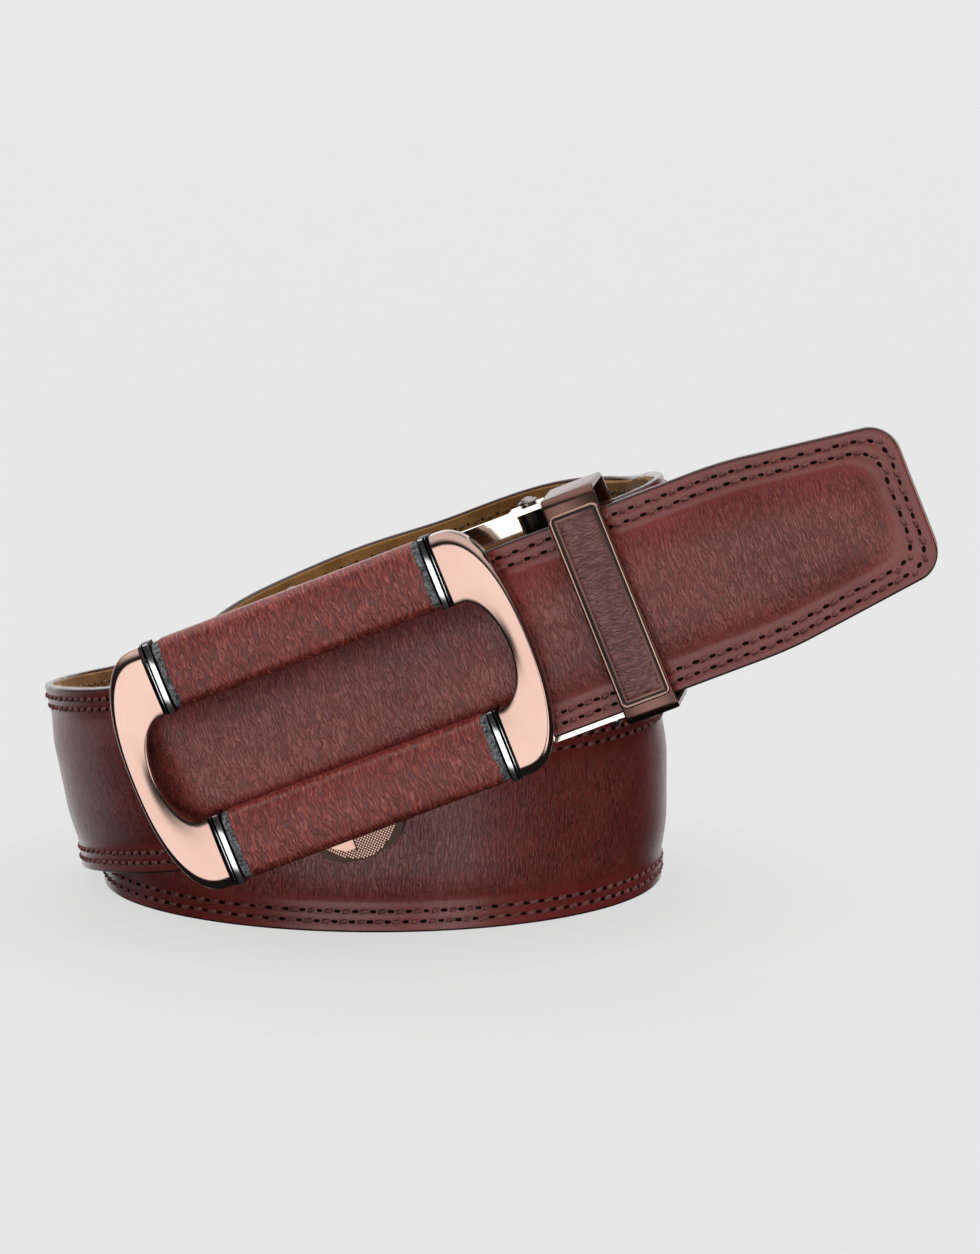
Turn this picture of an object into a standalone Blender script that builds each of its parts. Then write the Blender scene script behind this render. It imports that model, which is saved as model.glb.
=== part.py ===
"""Ratchet belt: a padded leather strap, coiled and standing on its lower edge,
with a polished gate buckle, a toothed track, a release lever and a fixed keeper.

Metres, +Z up, the floor at z = 0. X runs to the right of the buckle's front and
+Y away from it. Inside the buckle, u runs along the strap towards its tip, v up
across the strap's width and n out of the buckle's face.
"""

import math

import bmesh
import bpy
import numpy as np
from mathutils import Matrix, Vector

MM = 0.001

# Strap
STRAP_WIDTH = 35.0 * MM
LEATHER_EDGE = 1.5 * MM
PAD_HEIGHT = 0.85 * MM
LINING_THICKNESS = 1.1 * MM
LINING_INSET = 0.35 * MM
MARGIN_WIDTH = 5.9 * MM
FIT_GAP = 0.3 * MM
OVERLAP = 0.2 * MM
CUT_RUN = 1.0 * MM
MERGE_DISTANCE = 0.01 * MM

# Coil
COIL_RADIUS = 50.6 * MM
TURN_GAP = 0.7 * MM
CORNER_OUT = 36.0 * MM
CORNER_IN = 27.0 * MM
NOSE_OUT = 41.0 * MM
NOSE_IN = 60.0 * MM
COIL_STEP_DEGREES = 9.0
FLOOR_TURNS_DEGREES = (382.0, 900.0)
STATION_STEP = 5.4 * MM

# Tail
TAIL_LENGTH = 51.5 * MM
TAPER_LENGTH = 30.0 * MM
TIP_INSET = 4.0 * MM
TIP_CORNER = 4.5 * MM

# Toothed track on the tail
TRACK_WIDTH = 8.0 * MM
TRACK_BASE = 0.8 * MM
TOOTH_HEIGHT = 0.7 * MM
TOOTH_PITCH = 6.3 * MM
TOOTH_STEEP = 0.35
TOOTH_FLAT = 0.16
TOOTH_RAMP = 0.4
TRACK_TIP_MARGIN = 20.0 * MM

# Buckle's place
BUCKLE_X = -6.6 * MM
BUCKLE_CLEARANCE = 2.0 * MM
BUCKLE_HEIGHT = 43.6 * MM
BUCKLE_YAW = math.radians(7.0)
BUCKLE_ROLL = math.radians(21.9)
STRAP_DROP = 1.3 * MM

# Gate of the buckle
BAR_LENGTH = 50.4 * MM
BAR_WIDTH = 12.6 * MM
BAR_THICKNESS = 4.4 * MM
BAR_ROUND = 1.3 * MM
GATE_OVERHANG = 2.3 * MM
RIB_WIDTH = 1.8 * MM
RIB_PROUD = 0.25 * MM
RIB_ROUND = 0.45 * MM
HORN_ROOT = 0.9 * MM
HORN_BULGE = 9.2 * MM
HORN_HOLLOW = 5.2 * MM
HORN_POWER = 2.35
HORN_THICKNESS = 4.9 * MM
HORN_ROUND = 1.0 * MM
GATE_CLEARANCE = 0.5 * MM

# Frame behind the gate
WALL_THICKNESS = 0.9 * MM
FRAME_SIDE_GAP = 0.5 * MM
PLATE_THICKNESS = 1.0 * MM
PLATE_REACH = 41.6 * MM
PLATE_END_ROUND = 1.6 * MM
RAIL_PROUD = 0.6 * MM
TRACK_CLEARANCE = 0.6 * MM
PAWL_WINDOW_LENGTH = 7.7 * MM
PAWL_WINDOW_WIDTH = 11.2 * MM
EAR_WIDTH = 7.0 * MM

# Pins
PIN_RADIUS = 1.3 * MM
PIN_CLEARANCE = 0.3 * MM
PIN_HEAD_RADIUS = 1.7 * MM
PIN_HEAD_HEIGHT = 1.1 * MM
BARREL_WALL = 0.9 * MM
LEVER_PIN_U = -1.2 * MM
CLAMP_PIN_GAP = 2.1 * MM

# Release lever
LEVER_THICKNESS = 1.2 * MM
LEVER_LEFT = 11.5 * MM
LEVER_TAB_RIGHT = 4.0 * MM
LEVER_PAWL_ARM = 8.5 * MM
PAWL_THICKNESS = 1.3 * MM
TAB_DROP = 7.2 * MM
TAB_THICKNESS = 5.0 * MM
TAB_OFFSET = 0.05 * MM
TAB_SIDE_SHARE = 0.25
LEVER_SIDE_MARGIN = 0.5 * MM

# Clamp and keeper
CLAMP_PLATE_THICKNESS = 1.0 * MM
CLAMP_PLATE_INSET = 2.5 * MM
CLAMP_PLATE_SETBACK = 0.5 * MM
KEEPER_GAP = 1.3 * MM
KEEPER_WIDTH = 9.6 * MM
KEEPER_SIDE_GAP = 1.0 * MM
KEEPER_WALL = 1.2 * MM
KEEPER_FRONT = 2.2 * MM
KEEPER_ROUND = 1.6 * MM
INLAY_END_MARGIN = 4.0 * MM
INLAY_WIDTH = 7.2 * MM
INLAY_DEPTH = 0.9 * MM
RIM_WIDTH = 0.7 * MM
RIM_HEIGHT = 0.35 * MM

# The coil from the strap's fixed end outwards: the angle round the coil from its
# front, the radius as a share of COIL_RADIUS plus a number of strap layers, the
# height of the strap's middle as a share of STRAP_WIDTH, and the lean in degrees.
COIL_ROWS = (
    # turn, radius, layers, height, lean
    (76.0, 1.085, 0.0, 1.715, 19.4),
    (96.0, 0.985, 0.0, 1.625, 19.4),
    (118.0, 0.840, 0.0, 1.535, 19.4),
    (131.0, 0.740, 0.0, 1.435, 19.4),
    (148.0, 0.670, 0.0, 1.305, 19.4),
    (172.0, 0.620, 0.0, 1.170, 19.4),
    (200.0, 0.575, 0.0, 1.020, 19.4),
    (230.0, 0.560, 0.0, 0.885, 19.2),
    (258.0, 0.570, 0.0, 0.750, 18.0),
    (288.0, 0.625, 0.0, 0.640, 14.5),
    (318.0, 0.715, 0.0, 0.560, 9.0),
    (350.0, 0.900, -1.0, 0.515, 3.5),
    (382.0, 0.975, -1.0, 0.500, 0.0),
    (412.0, 0.995, -1.0, 0.500, 0.0),
    (450.0, 1.000, -1.0, 0.500, 0.0),
    (540.0, 1.000, -0.9, 0.500, 0.0),
    (585.0, 1.000, -0.82, 0.500, 0.0),
    (610.0, 1.000, -0.62, 0.500, 0.0),
    (640.0, 1.000, -0.13, 0.500, 0.0),
    (675.0, 1.000, 0.0, 0.500, 0.0),
    (720.0, 1.000, 0.0, 0.500, 0.0),
    (810.0, 1.000, 0.0, 0.500, 0.0),
    (900.0, 1.000, 0.15, 0.500, 0.0),
    (945.0, 1.000, 0.24, 0.505, 0.8),
    (970.0, 1.000, 0.52, 0.520, 2.2),
    (985.0, 1.000, 0.90, 0.550, 5.0),
    (1000.0, 1.000, 1.40, 0.600, 9.5),
    (1010.0, 1.000, 1.85, 0.640, 12.5),
)

# The leather's outer face across the strap, from one edge to the middle: the place
# as a share of MARGIN_WIDTH from the edge or of the rest, and the height as a share
# of PAD_HEIGHT above the margin.
PAD_ROWS = (
    # margin share, rest share, height share
    (0.04, 0.0, 0.0),
    (0.9, 0.0, 0.0),
    (1.0, 0.08, 0.25),
    (1.0, 0.36, 0.82),
    (1.0, 1.0, 1.0),
)

EDGE_ROUND = 0.25 * MM
PAD_RUN = 4.5 * MM

# Extra stations at the tip, as shares of PAD_RUN and of TIP_CORNER from its end
PAD_END_SHARES = (1.0, 0.4, 0.0)
TIP_CORNER_SHARES = (1.0, 0.62, 0.3, 0.1, 0.0)

# Colours as red, green, blue, then roughness and metallic
LEATHER_LOOK = ((0.090, 0.022, 0.018), 0.42, 0.0)
LINING_LOOK = ((0.42, 0.22, 0.07), 0.85, 0.0)
TRACK_LOOK = ((0.05, 0.02, 0.02), 0.5, 0.0)
WRAP_LOOK = ((0.17, 0.045, 0.03), 0.45, 0.0)
ROSE_LOOK = ((0.78, 0.50, 0.40), 0.16, 1.0)
SILVER_LOOK = ((0.75, 0.75, 0.76), 0.12, 1.0)
BRONZE_LOOK = ((0.22, 0.10, 0.085), 0.25, 1.0)
STEEL_LOOK = ((0.60, 0.60, 0.60), 0.3, 1.0)

# Sizes across the strap that follow its width
TIP_WIDTH = STRAP_WIDTH - 2 * TIP_INSET
FRAME_WIDTH = STRAP_WIDTH + 2 * (STRAP_DROP + FRAME_SIDE_GAP + WALL_THICKNESS)
GATE_HALF = FRAME_WIDTH / 2 + GATE_OVERHANG
WINDOW_HEIGHT = 2 * (GATE_HALF - BAR_WIDTH)
KEEPER_HEIGHT = STRAP_WIDTH + 2 * (STRAP_DROP + KEEPER_SIDE_GAP + KEEPER_WALL)
INLAY_LENGTH = KEEPER_HEIGHT - 2 * INLAY_END_MARGIN
CLAMP_PLATE_WIDTH = STRAP_WIDTH - 2 * CLAMP_PLATE_INSET

# Depths along n, from the face where the tail's leather meets its lining
LEATHER_TOP = FIT_GAP / 2 + LEATHER_EDGE + PAD_HEIGHT
LINING_BACK = -FIT_GAP / 2 - LINING_THICKNESS
LAYER_PITCH = LEATHER_TOP - LINING_BACK + TURN_GAP
TRACK_FACE = LINING_BACK - FIT_GAP
TRACK_BACK = TRACK_FACE - TRACK_BASE
TOOTH_BACK = TRACK_BACK - TOOTH_HEIGHT
GATE_BACK = LEATHER_TOP + GATE_CLEARANCE
PLATE_FRONT = TOOTH_BACK - TRACK_CLEARANCE
PLATE_BACK = PLATE_FRONT - PLATE_THICKNESS
BORE_RADIUS = PIN_RADIUS + PIN_CLEARANCE
BARREL_RADIUS = BORE_RADIUS + BARREL_WALL
LEVER_PIN_N = PLATE_BACK - FIT_GAP - BARREL_RADIUS
FIXED_FACE = TOOTH_BACK - TRACK_CLEARANCE - LEATHER_TOP
CLAMP_FRONT = FIXED_FACE + LINING_BACK - FIT_GAP
CLAMP_BACK = CLAMP_FRONT - CLAMP_PLATE_THICKNESS
CLAMP_PIN_U = PLATE_REACH + CLAMP_PIN_GAP
CLAMP_PIN_N = PLATE_BACK - FIT_GAP - BARREL_RADIUS
FRAME_BACK = LEVER_PIN_N - BARREL_RADIUS
KEEPER_BACK = min(CLAMP_BACK, CLAMP_PIN_N - BARREL_RADIUS) - FIT_GAP - KEEPER_WALL
KEEPER_INNER_FRONT = LEATHER_TOP + FIT_GAP

# Places along u
BAR_END = BAR_LENGTH / 2
RIB_START = BAR_END + FIT_GAP
RIB_END = RIB_START + RIB_WIDTH
HORN_START = RIB_END + FIT_GAP
HORN_STRAIGHT = HORN_START + HORN_ROOT
KEEPER_START = CLAMP_PIN_U + BARREL_RADIUS + KEEPER_GAP
KEEPER_END = KEEPER_START + KEEPER_WIDTH
TIP_U = KEEPER_END + TAIL_LENGTH
FIXED_START = CLAMP_PIN_U + BARREL_RADIUS + FIT_GAP
FIXED_LEAVES = KEEPER_END + 2 * FIT_GAP
STRAIGHT_START = -HORN_START - FIT_GAP

# The buckle's own axes in the world
U_AXIS = np.array((
    math.cos(BUCKLE_ROLL) * math.cos(BUCKLE_YAW),
    -math.cos(BUCKLE_ROLL) * math.sin(BUCKLE_YAW),
    math.sin(BUCKLE_ROLL),
))
N_AXIS = np.array((-math.sin(BUCKLE_YAW), -math.cos(BUCKLE_YAW), 0.0))
V_AXIS = np.cross(N_AXIS, U_AXIS)
BUCKLE_DEPTH = COIL_RADIUS + LEATHER_TOP + BUCKLE_CLEARANCE - FRAME_BACK
BUCKLE_CENTRE = np.array((BUCKLE_X, -BUCKLE_DEPTH, BUCKLE_HEIGHT))


def in_buckle(u, v, n):
    """World place of a point given along the strap, across it and out of the face."""
    return BUCKLE_CENTRE + u * U_AXIS + v * V_AXIS + n * N_AXIS


def buckle_matrix():
    """Matrix that takes the buckle's u, v, n to the world."""
    matrix = Matrix.Identity(4)
    for column, axis in enumerate((U_AXIS, V_AXIS, N_AXIS, BUCKLE_CENTRE)):
        for row in range(3):
            matrix[row][column] = axis[row]
    return matrix


def natural_spline(knots, values, wanted):
    """Values of the natural cubic spline through the knots at the wanted places."""
    count = len(knots)
    steps = np.diff(knots)
    slopes = np.diff(values) / steps
    system = np.eye(count)
    right = np.zeros(count)
    for i in range(1, count - 1):
        system[i, i - 1] = steps[i - 1]
        system[i, i] = 2 * (steps[i - 1] + steps[i])
        system[i, i + 1] = steps[i]
        right[i] = 6 * (slopes[i] - slopes[i - 1])
    bend = np.linalg.solve(system, right)
    i = np.clip(np.searchsorted(knots, wanted, side="right") - 1, 0, count - 2)
    x = wanted - knots[i]
    start_slope = slopes[i] - steps[i] * (2 * bend[i] + bend[i + 1]) / 6
    cubic = (bend[i + 1] - bend[i]) / (6 * steps[i])
    return values[i] + start_slope * x + bend[i] / 2 * x ** 2 + cubic * x ** 3


def coil_points(turns):
    """Middle line and lean of the strap in the coil at the wanted angles in degrees."""
    rows = np.array(COIL_ROWS)
    radii = rows[:, 1] * COIL_RADIUS + rows[:, 2] * LAYER_PITCH
    radius = natural_spline(rows[:, 0], radii, turns)
    height = natural_spline(rows[:, 0], rows[:, 3] * STRAP_WIDTH, turns)
    lean = natural_spline(rows[:, 0], np.radians(rows[:, 4]), turns)
    height = np.maximum(height, STRAP_WIDTH / 2)
    on_floor = (turns >= FLOOR_TURNS_DEGREES[0]) & (turns <= FLOOR_TURNS_DEGREES[1])
    height[on_floor] = STRAP_WIDTH / 2
    lean[on_floor] = 0.0
    angle = np.radians(turns)
    points = np.stack((radius * np.sin(angle), -radius * np.cos(angle), height), axis=1)
    return points, lean


def joining_curve(start, start_run, end, end_run, count):
    """Inner points of a smooth curve between two places with given runs out and in."""
    t = np.linspace(0.0, 1.0, count + 2)[1:-1, None]
    return (
        (2 * t ** 3 - 3 * t ** 2 + 1) * start
        + (t ** 3 - 2 * t ** 2 + t) * start_run
        + (3 * t ** 2 - 2 * t ** 3) * end
        + (t ** 3 - t ** 2) * end_run
    )


def straight_stations(first, last, step):
    """Places along u from first to last, about one step apart."""
    count = max(2, int(round((last - first) / step)) + 1)
    return np.linspace(first, last, count)


class StrapRoute:
    """The strap's middle line from its fixed end, round the coil and out to its tip."""

    def __init__(self):
        coil_span = COIL_ROWS[-1][0] - COIL_ROWS[0][0]
        turn_count = round(coil_span / COIL_STEP_DEGREES) + 1
        coil_turns = np.linspace(COIL_ROWS[0][0], COIL_ROWS[-1][0], turn_count)
        coil, coil_lean = coil_points(coil_turns)
        fixed_v = -STRAP_DROP
        fixed = np.array([in_buckle(u, fixed_v, FIXED_FACE)
                          for u in straight_stations(FIXED_START, FIXED_LEAVES, 2 * STATION_STEP)])
        straight_u = straight_stations(STRAIGHT_START, TIP_U, STATION_STEP)
        straight = np.array([in_buckle(u, fixed_v, 0.0) for u in straight_u])

        nose_run = coil[1] - coil[0]
        nose_run *= NOSE_IN / np.linalg.norm(nose_run)
        nose = joining_curve(fixed[-1], U_AXIS * NOSE_OUT, coil[0], nose_run, 8)
        corner_run = coil[-1] - coil[-2]
        corner_run *= CORNER_OUT / np.linalg.norm(corner_run)
        corner = joining_curve(coil[-1], corner_run, straight[0], U_AXIS * CORNER_IN, 8)

        nose_lean = np.linspace(BUCKLE_ROLL, coil_lean[0], len(nose) + 2)[1:-1]
        corner_lean = np.linspace(coil_lean[-1], BUCKLE_ROLL, len(corner) + 2)[1:-1]
        self.points = np.concatenate((fixed, nose, coil, corner, straight))
        self.lean = np.concatenate((
            np.full(len(fixed), BUCKLE_ROLL), nose_lean, coil_lean, corner_lean,
            np.full(len(straight), BUCKLE_ROLL),
        ))
        self.straight_first = len(self.points) - len(straight)
        self.fixed_last = len(fixed) - 1
        self.set_frames()
        self.measure()

    def measure(self):
        """Length of the strap from its fixed end to each point."""
        runs = np.linalg.norm(np.diff(self.points, axis=0), axis=1)
        self.lengths = np.concatenate(((0.0,), np.cumsum(runs)))

    def set_frames(self):
        """Direction along the strap, up across it and out of its face at each point."""
        along = np.gradient(self.points, axis=0)
        along[self.straight_first:] = U_AXIS
        along[:self.fixed_last + 1] = U_AXIS
        along /= np.linalg.norm(along, axis=1)[:, None]
        up = np.stack((-np.sin(self.lean), np.zeros(len(self.lean)), np.cos(self.lean)), axis=1)
        up[self.straight_first:] = V_AXIS
        up[:self.fixed_last + 1] = V_AXIS
        up -= (up * along).sum(axis=1)[:, None] * along
        up /= np.linalg.norm(up, axis=1)[:, None]
        self.along = along
        self.up = up
        self.out = np.cross(along, up)

    def place(self, station, across, out):
        """World place of a point at one station, given across the strap and outwards."""
        return self.points[station] + across * self.up[station] + out * self.out[station]

    def half_width(self, station):
        """Half the strap's width at one station, which shrinks towards the tip."""
        to_tip = self.lengths[-1] - self.lengths[station]
        half = STRAP_WIDTH / 2
        if to_tip < TAPER_LENGTH:
            share = 1 - to_tip / TAPER_LENGTH
            half -= share * (STRAP_WIDTH - TIP_WIDTH) / 2
        if to_tip < TIP_CORNER:
            inside = TIP_CORNER - to_tip
            half -= TIP_CORNER - math.sqrt(max(TIP_CORNER ** 2 - inside ** 2, 0.0))
        return half

    def pad_height(self, station):
        """Height of the padding at one station, which falls to nothing at the tip."""
        to_tip = self.lengths[-1] - self.lengths[station]
        share = min(max((to_tip - MARGIN_WIDTH) / PAD_RUN, 0.0), 1.0)
        return PAD_HEIGHT * math.sin(share * math.pi / 2)


def make_material(name, look):
    """A Principled material from a colour, a roughness and a metallic value."""
    colour, roughness, metallic = look
    material = bpy.data.materials.new(name)
    material.use_nodes = True
    shader = material.node_tree.nodes["Principled BSDF"]
    shader.inputs["Base Color"].default_value = (*colour, 1.0)
    shader.inputs["Roughness"].default_value = roughness
    shader.inputs["Metallic"].default_value = metallic
    material.diffuse_color = (*colour, 1.0)
    return material


def add_object(name, mesh, look):
    """Link a mesh to the scene as a named object with its own material."""
    obj = bpy.data.objects.new(name, mesh)
    bpy.context.collection.objects.link(obj)
    mesh.materials.append(make_material(name + "_finish", look))
    return obj


def finish_mesh(name, bm):
    """Turn a bmesh into a mesh with outward faces, shaded smooth between sharp edges."""
    bmesh.ops.recalc_face_normals(bm, faces=bm.faces)
    mesh = bpy.data.meshes.new(name)
    bm.to_mesh(mesh)
    bm.free()
    mesh.shade_smooth()
    mesh.set_sharp_from_angle(angle=math.radians(35.0))
    return mesh


def skin_sections(name, sections):
    """Closed mesh through a row of matching closed sections, capped at both ends.

    Each step is split on the same diagonal, so that two skins whose faces lie close
    together twist alike and stay clear of each other.
    """
    bm = bmesh.new()
    rings = [[bm.verts.new(Vector(point)) for point in section] for section in sections]
    for ring, following in zip(rings, rings[1:]):
        size = len(ring)
        for i in range(size):
            j = (i + 1) % size
            bm.faces.new((ring[i], ring[j], following[j]))
            bm.faces.new((ring[i], following[j], following[i]))
    bm.faces.new(rings[0])
    bm.faces.new(tuple(reversed(rings[-1])))
    return finish_mesh(name, bm)


def leather_section(half, pad):
    """Outline of the leather across the strap for a pad of the given height."""
    low = FIT_GAP / 2
    top = low + LEATHER_EDGE
    side = [(half, low), (half, top - EDGE_ROUND)]
    for margin_share, rest_share, height_share in PAD_ROWS:
        inset = margin_share * MARGIN_WIDTH + rest_share * (half - MARGIN_WIDTH)
        side.append((half - inset, top + height_share * pad))
    other = [(-across, out) for across, out in reversed(side[:-1])]
    return side + other


def lining_section(half):
    """Outline of the lining across the strap as pairs of across and out."""
    reach = half - LINING_INSET
    front = -FIT_GAP / 2
    return [(-reach, front), (reach, front), (reach, LINING_BACK), (-reach, LINING_BACK)]


def add_tip_stations(route):
    """Add stations to the route near the tip, so that its corners come out round."""
    pad_foot = TIP_U - MARGIN_WIDTH - PAD_RUN * np.array(PAD_END_SHARES)
    corner = TIP_U - TIP_CORNER * np.array(TIP_CORNER_SHARES)
    extra = np.concatenate((pad_foot, corner))
    kept = np.array([(point - BUCKLE_CENTRE) @ U_AXIS < extra[0] - FIT_GAP
                     for point in route.points])
    kept[:route.straight_first] = True
    tip = np.array([in_buckle(u, -STRAP_DROP, 0.0) for u in extra])
    route.points = np.concatenate((route.points[kept], tip))
    route.lean = np.concatenate((route.lean[kept], np.full(len(tip), BUCKLE_ROLL)))
    route.set_frames()
    route.measure()


def build_strap(route):
    """The outer leather and its lining, each one solid along the whole route."""
    stations = range(len(route.points))
    leather = []
    lining = []
    for station in stations:
        half = route.half_width(station)
        pad = route.pad_height(station)
        leather.append([route.place(station, a, o) for a, o in leather_section(half, pad)])
        lining.append([route.place(station, a, o) for a, o in lining_section(half)])
    add_object("strap_leather", skin_sections("strap_leather", leather), LEATHER_LOOK)
    add_object("strap_lining", skin_sections("strap_lining", lining), LINING_LOOK)


def build_track():
    """The toothed strip on the back of the tail, straight where the pawl meets it."""
    half = TRACK_WIDTH / 2
    end = TIP_U - TRACK_TIP_MARGIN
    start = STRAIGHT_START + FIT_GAP
    pawl_u = LEVER_PIN_U + LEVER_PAWL_ARM
    steep = TOOTH_HEIGHT * TOOTH_STEEP
    flat = TOOTH_PITCH * TOOTH_FLAT
    ramp = TOOTH_PITCH * TOOTH_RAMP
    first_tooth = pawl_u + PAWL_THICKNESS / 2 + 3 * FIT_GAP
    before = int((first_tooth - start - TOOTH_PITCH) / TOOTH_PITCH)
    after = int((end - first_tooth - TOOTH_PITCH) / TOOTH_PITCH)
    profile = [(start, TRACK_BACK)]
    for tooth in range(-before, after + 1):
        foot = first_tooth + tooth * TOOTH_PITCH
        profile += [
            (foot, TRACK_BACK),
            (foot + steep, TOOTH_BACK),
            (foot + steep + flat, TOOTH_BACK),
            (foot + steep + flat + ramp, TRACK_BACK),
        ]
    profile.append((end, TRACK_BACK))
    sections = []
    for u, back in profile:
        corners = ((half, TRACK_FACE), (-half, TRACK_FACE), (-half, back), (half, back))
        sections.append([in_buckle(u, v - STRAP_DROP, n) for v, n in corners])
    add_object("ratchet_track", skin_sections("ratchet_track", sections), TRACK_LOOK)


def box_mesh(name, low, high):
    """A box in the buckle's own axes from its lowest and highest corner."""
    bm = bmesh.new()
    size = [b - a for a, b in zip(low, high)]
    middle = [(a + b) / 2 for a, b in zip(low, high)]
    bmesh.ops.create_cube(bm, size=1.0)
    bmesh.ops.scale(bm, vec=size, verts=bm.verts)
    bmesh.ops.translate(bm, vec=middle, verts=bm.verts)
    return finish_mesh(name, bm)


def rod_mesh(name, u, n, radius, low_v, high_v, sides=16):
    """A round rod across the strap's width, between two places along v."""
    bm = bmesh.new()
    turn = Matrix.Rotation(math.radians(90.0), 4, "X")
    shift = Matrix.Translation((u, (low_v + high_v) / 2, n))
    bmesh.ops.create_cone(bm, cap_ends=True, segments=sides, radius1=radius, radius2=radius,
                          depth=high_v - low_v, matrix=shift @ turn)
    return finish_mesh(name, bm)


def prism_mesh(name, outline, low, high, axes):
    """A flat outline raised between two places along the axis that is left over."""
    bm = bmesh.new()
    third = ({0, 1, 2} - set(axes)).pop()

    def corner(pair, depth):
        point = [0.0, 0.0, 0.0]
        point[axes[0]] = pair[0]
        point[axes[1]] = pair[1]
        point[third] = depth
        return bm.verts.new(point)

    lower = [corner(pair, low) for pair in outline]
    upper = [corner(pair, high) for pair in outline]
    count = len(outline)
    for i in range(count):
        j = (i + 1) % count
        bm.faces.new((lower[i], lower[j], upper[j], upper[i]))
    bm.faces.new(lower)
    bm.faces.new(upper)
    return finish_mesh(name, bm)


def rounded_rectangle(half_a, half_b, radius, steps=3):
    """Corner points of a rectangle with round corners, round its middle."""
    outline = []
    for quarter, (sign_a, sign_b) in enumerate(((1, 1), (-1, 1), (-1, -1), (1, -1))):
        for step in range(steps + 1):
            angle = math.pi / 2 * (quarter + step / steps)
            outline.append((
                sign_a * (half_a - radius) + radius * math.cos(angle),
                sign_b * (half_b - radius) + radius * math.sin(angle),
            ))
    return outline


def place_in_buckle(obj):
    """Set an object whose mesh is in the buckle's axes at its place in the world."""
    obj.matrix_world = buckle_matrix()
    return obj


def add_helper(name, mesh):
    """A shape that only cuts or fills another, kept out of the result."""
    obj = bpy.data.objects.new(name, mesh)
    bpy.context.collection.objects.link(obj)
    obj.hide_render = True
    obj.display_type = "WIRE"
    return place_in_buckle(obj)


def add_boolean(obj, operation, helper):
    """Cut a helper from an object or join it on, with the exact solver."""
    modifier = obj.modifiers.new(helper.name, "BOOLEAN")
    modifier.operation = operation
    modifier.solver = "EXACT"
    modifier.object = helper


def add_bevel(obj, width, segments, angle=50.0):
    """Round the edges of an object that are sharper than an angle in degrees."""
    modifier = obj.modifiers.new("rounding", "BEVEL")
    modifier.width = width
    modifier.segments = segments
    modifier.limit_method = "ANGLE"
    modifier.angle_limit = math.radians(angle)


def build_bars():
    """The two leather-wrapped bars of the gate."""
    inner = WINDOW_HEIGHT / 2
    for name, sign in (("bar_upper", 1), ("bar_lower", -1)):
        edges = sorted((sign * inner, sign * (inner + BAR_WIDTH)))
        middle = sum(edges) / 2
        outline = [(v + middle, n + GATE_BACK + BAR_THICKNESS / 2)
                   for v, n in rounded_rectangle(BAR_WIDTH / 2, BAR_THICKNESS / 2, BAR_ROUND)]
        mesh = prism_mesh(name, outline, -BAR_END, BAR_END, (1, 2))
        place_in_buckle(add_object(name, mesh, WRAP_LOOK))


def build_ribs():
    """The four silver ribs between the bars and the horns."""
    inner = WINDOW_HEIGHT / 2 - RIB_PROUD
    outer = WINDOW_HEIGHT / 2 + BAR_WIDTH + RIB_PROUD
    for row, sign_v in (("upper", 1), ("lower", -1)):
        for side, sign_u in (("left", -1), ("right", 1)):
            name = f"rib_{row}_{side}"
            along = sorted((sign_u * RIB_START, sign_u * RIB_END))
            edges = sorted((sign_v * inner, sign_v * outer))
            mesh = box_mesh(name, (along[0], edges[0], GATE_BACK),
                            (along[1], edges[1], GATE_BACK + BAR_THICKNESS + RIB_PROUD))
            rib = place_in_buckle(add_object(name, mesh, SILVER_LOOK))
            add_bevel(rib, RIB_ROUND, 2)


def horn_outline():
    """Outline of the right horn: a bulging outer edge and a hollow inner one."""
    outline = [(HORN_START, GATE_HALF)]
    arc_steps = 18
    for step in range(arc_steps + 1):
        angle = math.pi * (0.5 - step / arc_steps)
        reach = abs(math.cos(angle)) ** (2 / HORN_POWER)
        rise = math.copysign(abs(math.sin(angle)) ** (2 / HORN_POWER), math.sin(angle))
        outline.append((HORN_STRAIGHT + HORN_BULGE * reach, GATE_HALF * rise))
    outline.append((HORN_START, -GATE_HALF))
    inner = WINDOW_HEIGHT / 2
    outline.append((HORN_START, -inner))
    hollow_steps = 12
    for step in range(hollow_steps + 1):
        angle = math.pi * (step / hollow_steps - 0.5)
        outline.append((HORN_STRAIGHT + HORN_HOLLOW * math.cos(angle), inner * math.sin(angle)))
    outline.append((HORN_START, inner))
    return outline


def build_horns():
    """The two polished crescents that close the ends of the gate."""
    for name, sign in (("horn_left", -1), ("horn_right", 1)):
        outline = [(sign * u, v) for u, v in horn_outline()]
        mesh = prism_mesh(name, outline, GATE_BACK, GATE_BACK + HORN_THICKNESS, (0, 1))
        horn = place_in_buckle(add_object(name, mesh, ROSE_LOOK))
        add_bevel(horn, HORN_ROUND, 2)


def frame_plate_outline():
    """Outline of the frame's back plate, round at its keeper end."""
    half = FRAME_WIDTH / 2
    outline = [(-HORN_START, half), (-HORN_START, -half)]
    corner_steps = 4
    for sign in (-1, 1):
        for step in range(corner_steps + 1):
            share = step / corner_steps
            angle = math.pi / 2 * (share if sign > 0 else 1 - share)
            outline.append((
                PLATE_REACH - PLATE_END_ROUND + PLATE_END_ROUND * math.cos(angle),
                sign * (half - PLATE_END_ROUND + PLATE_END_ROUND * math.sin(angle)),
            ))
    return outline


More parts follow.
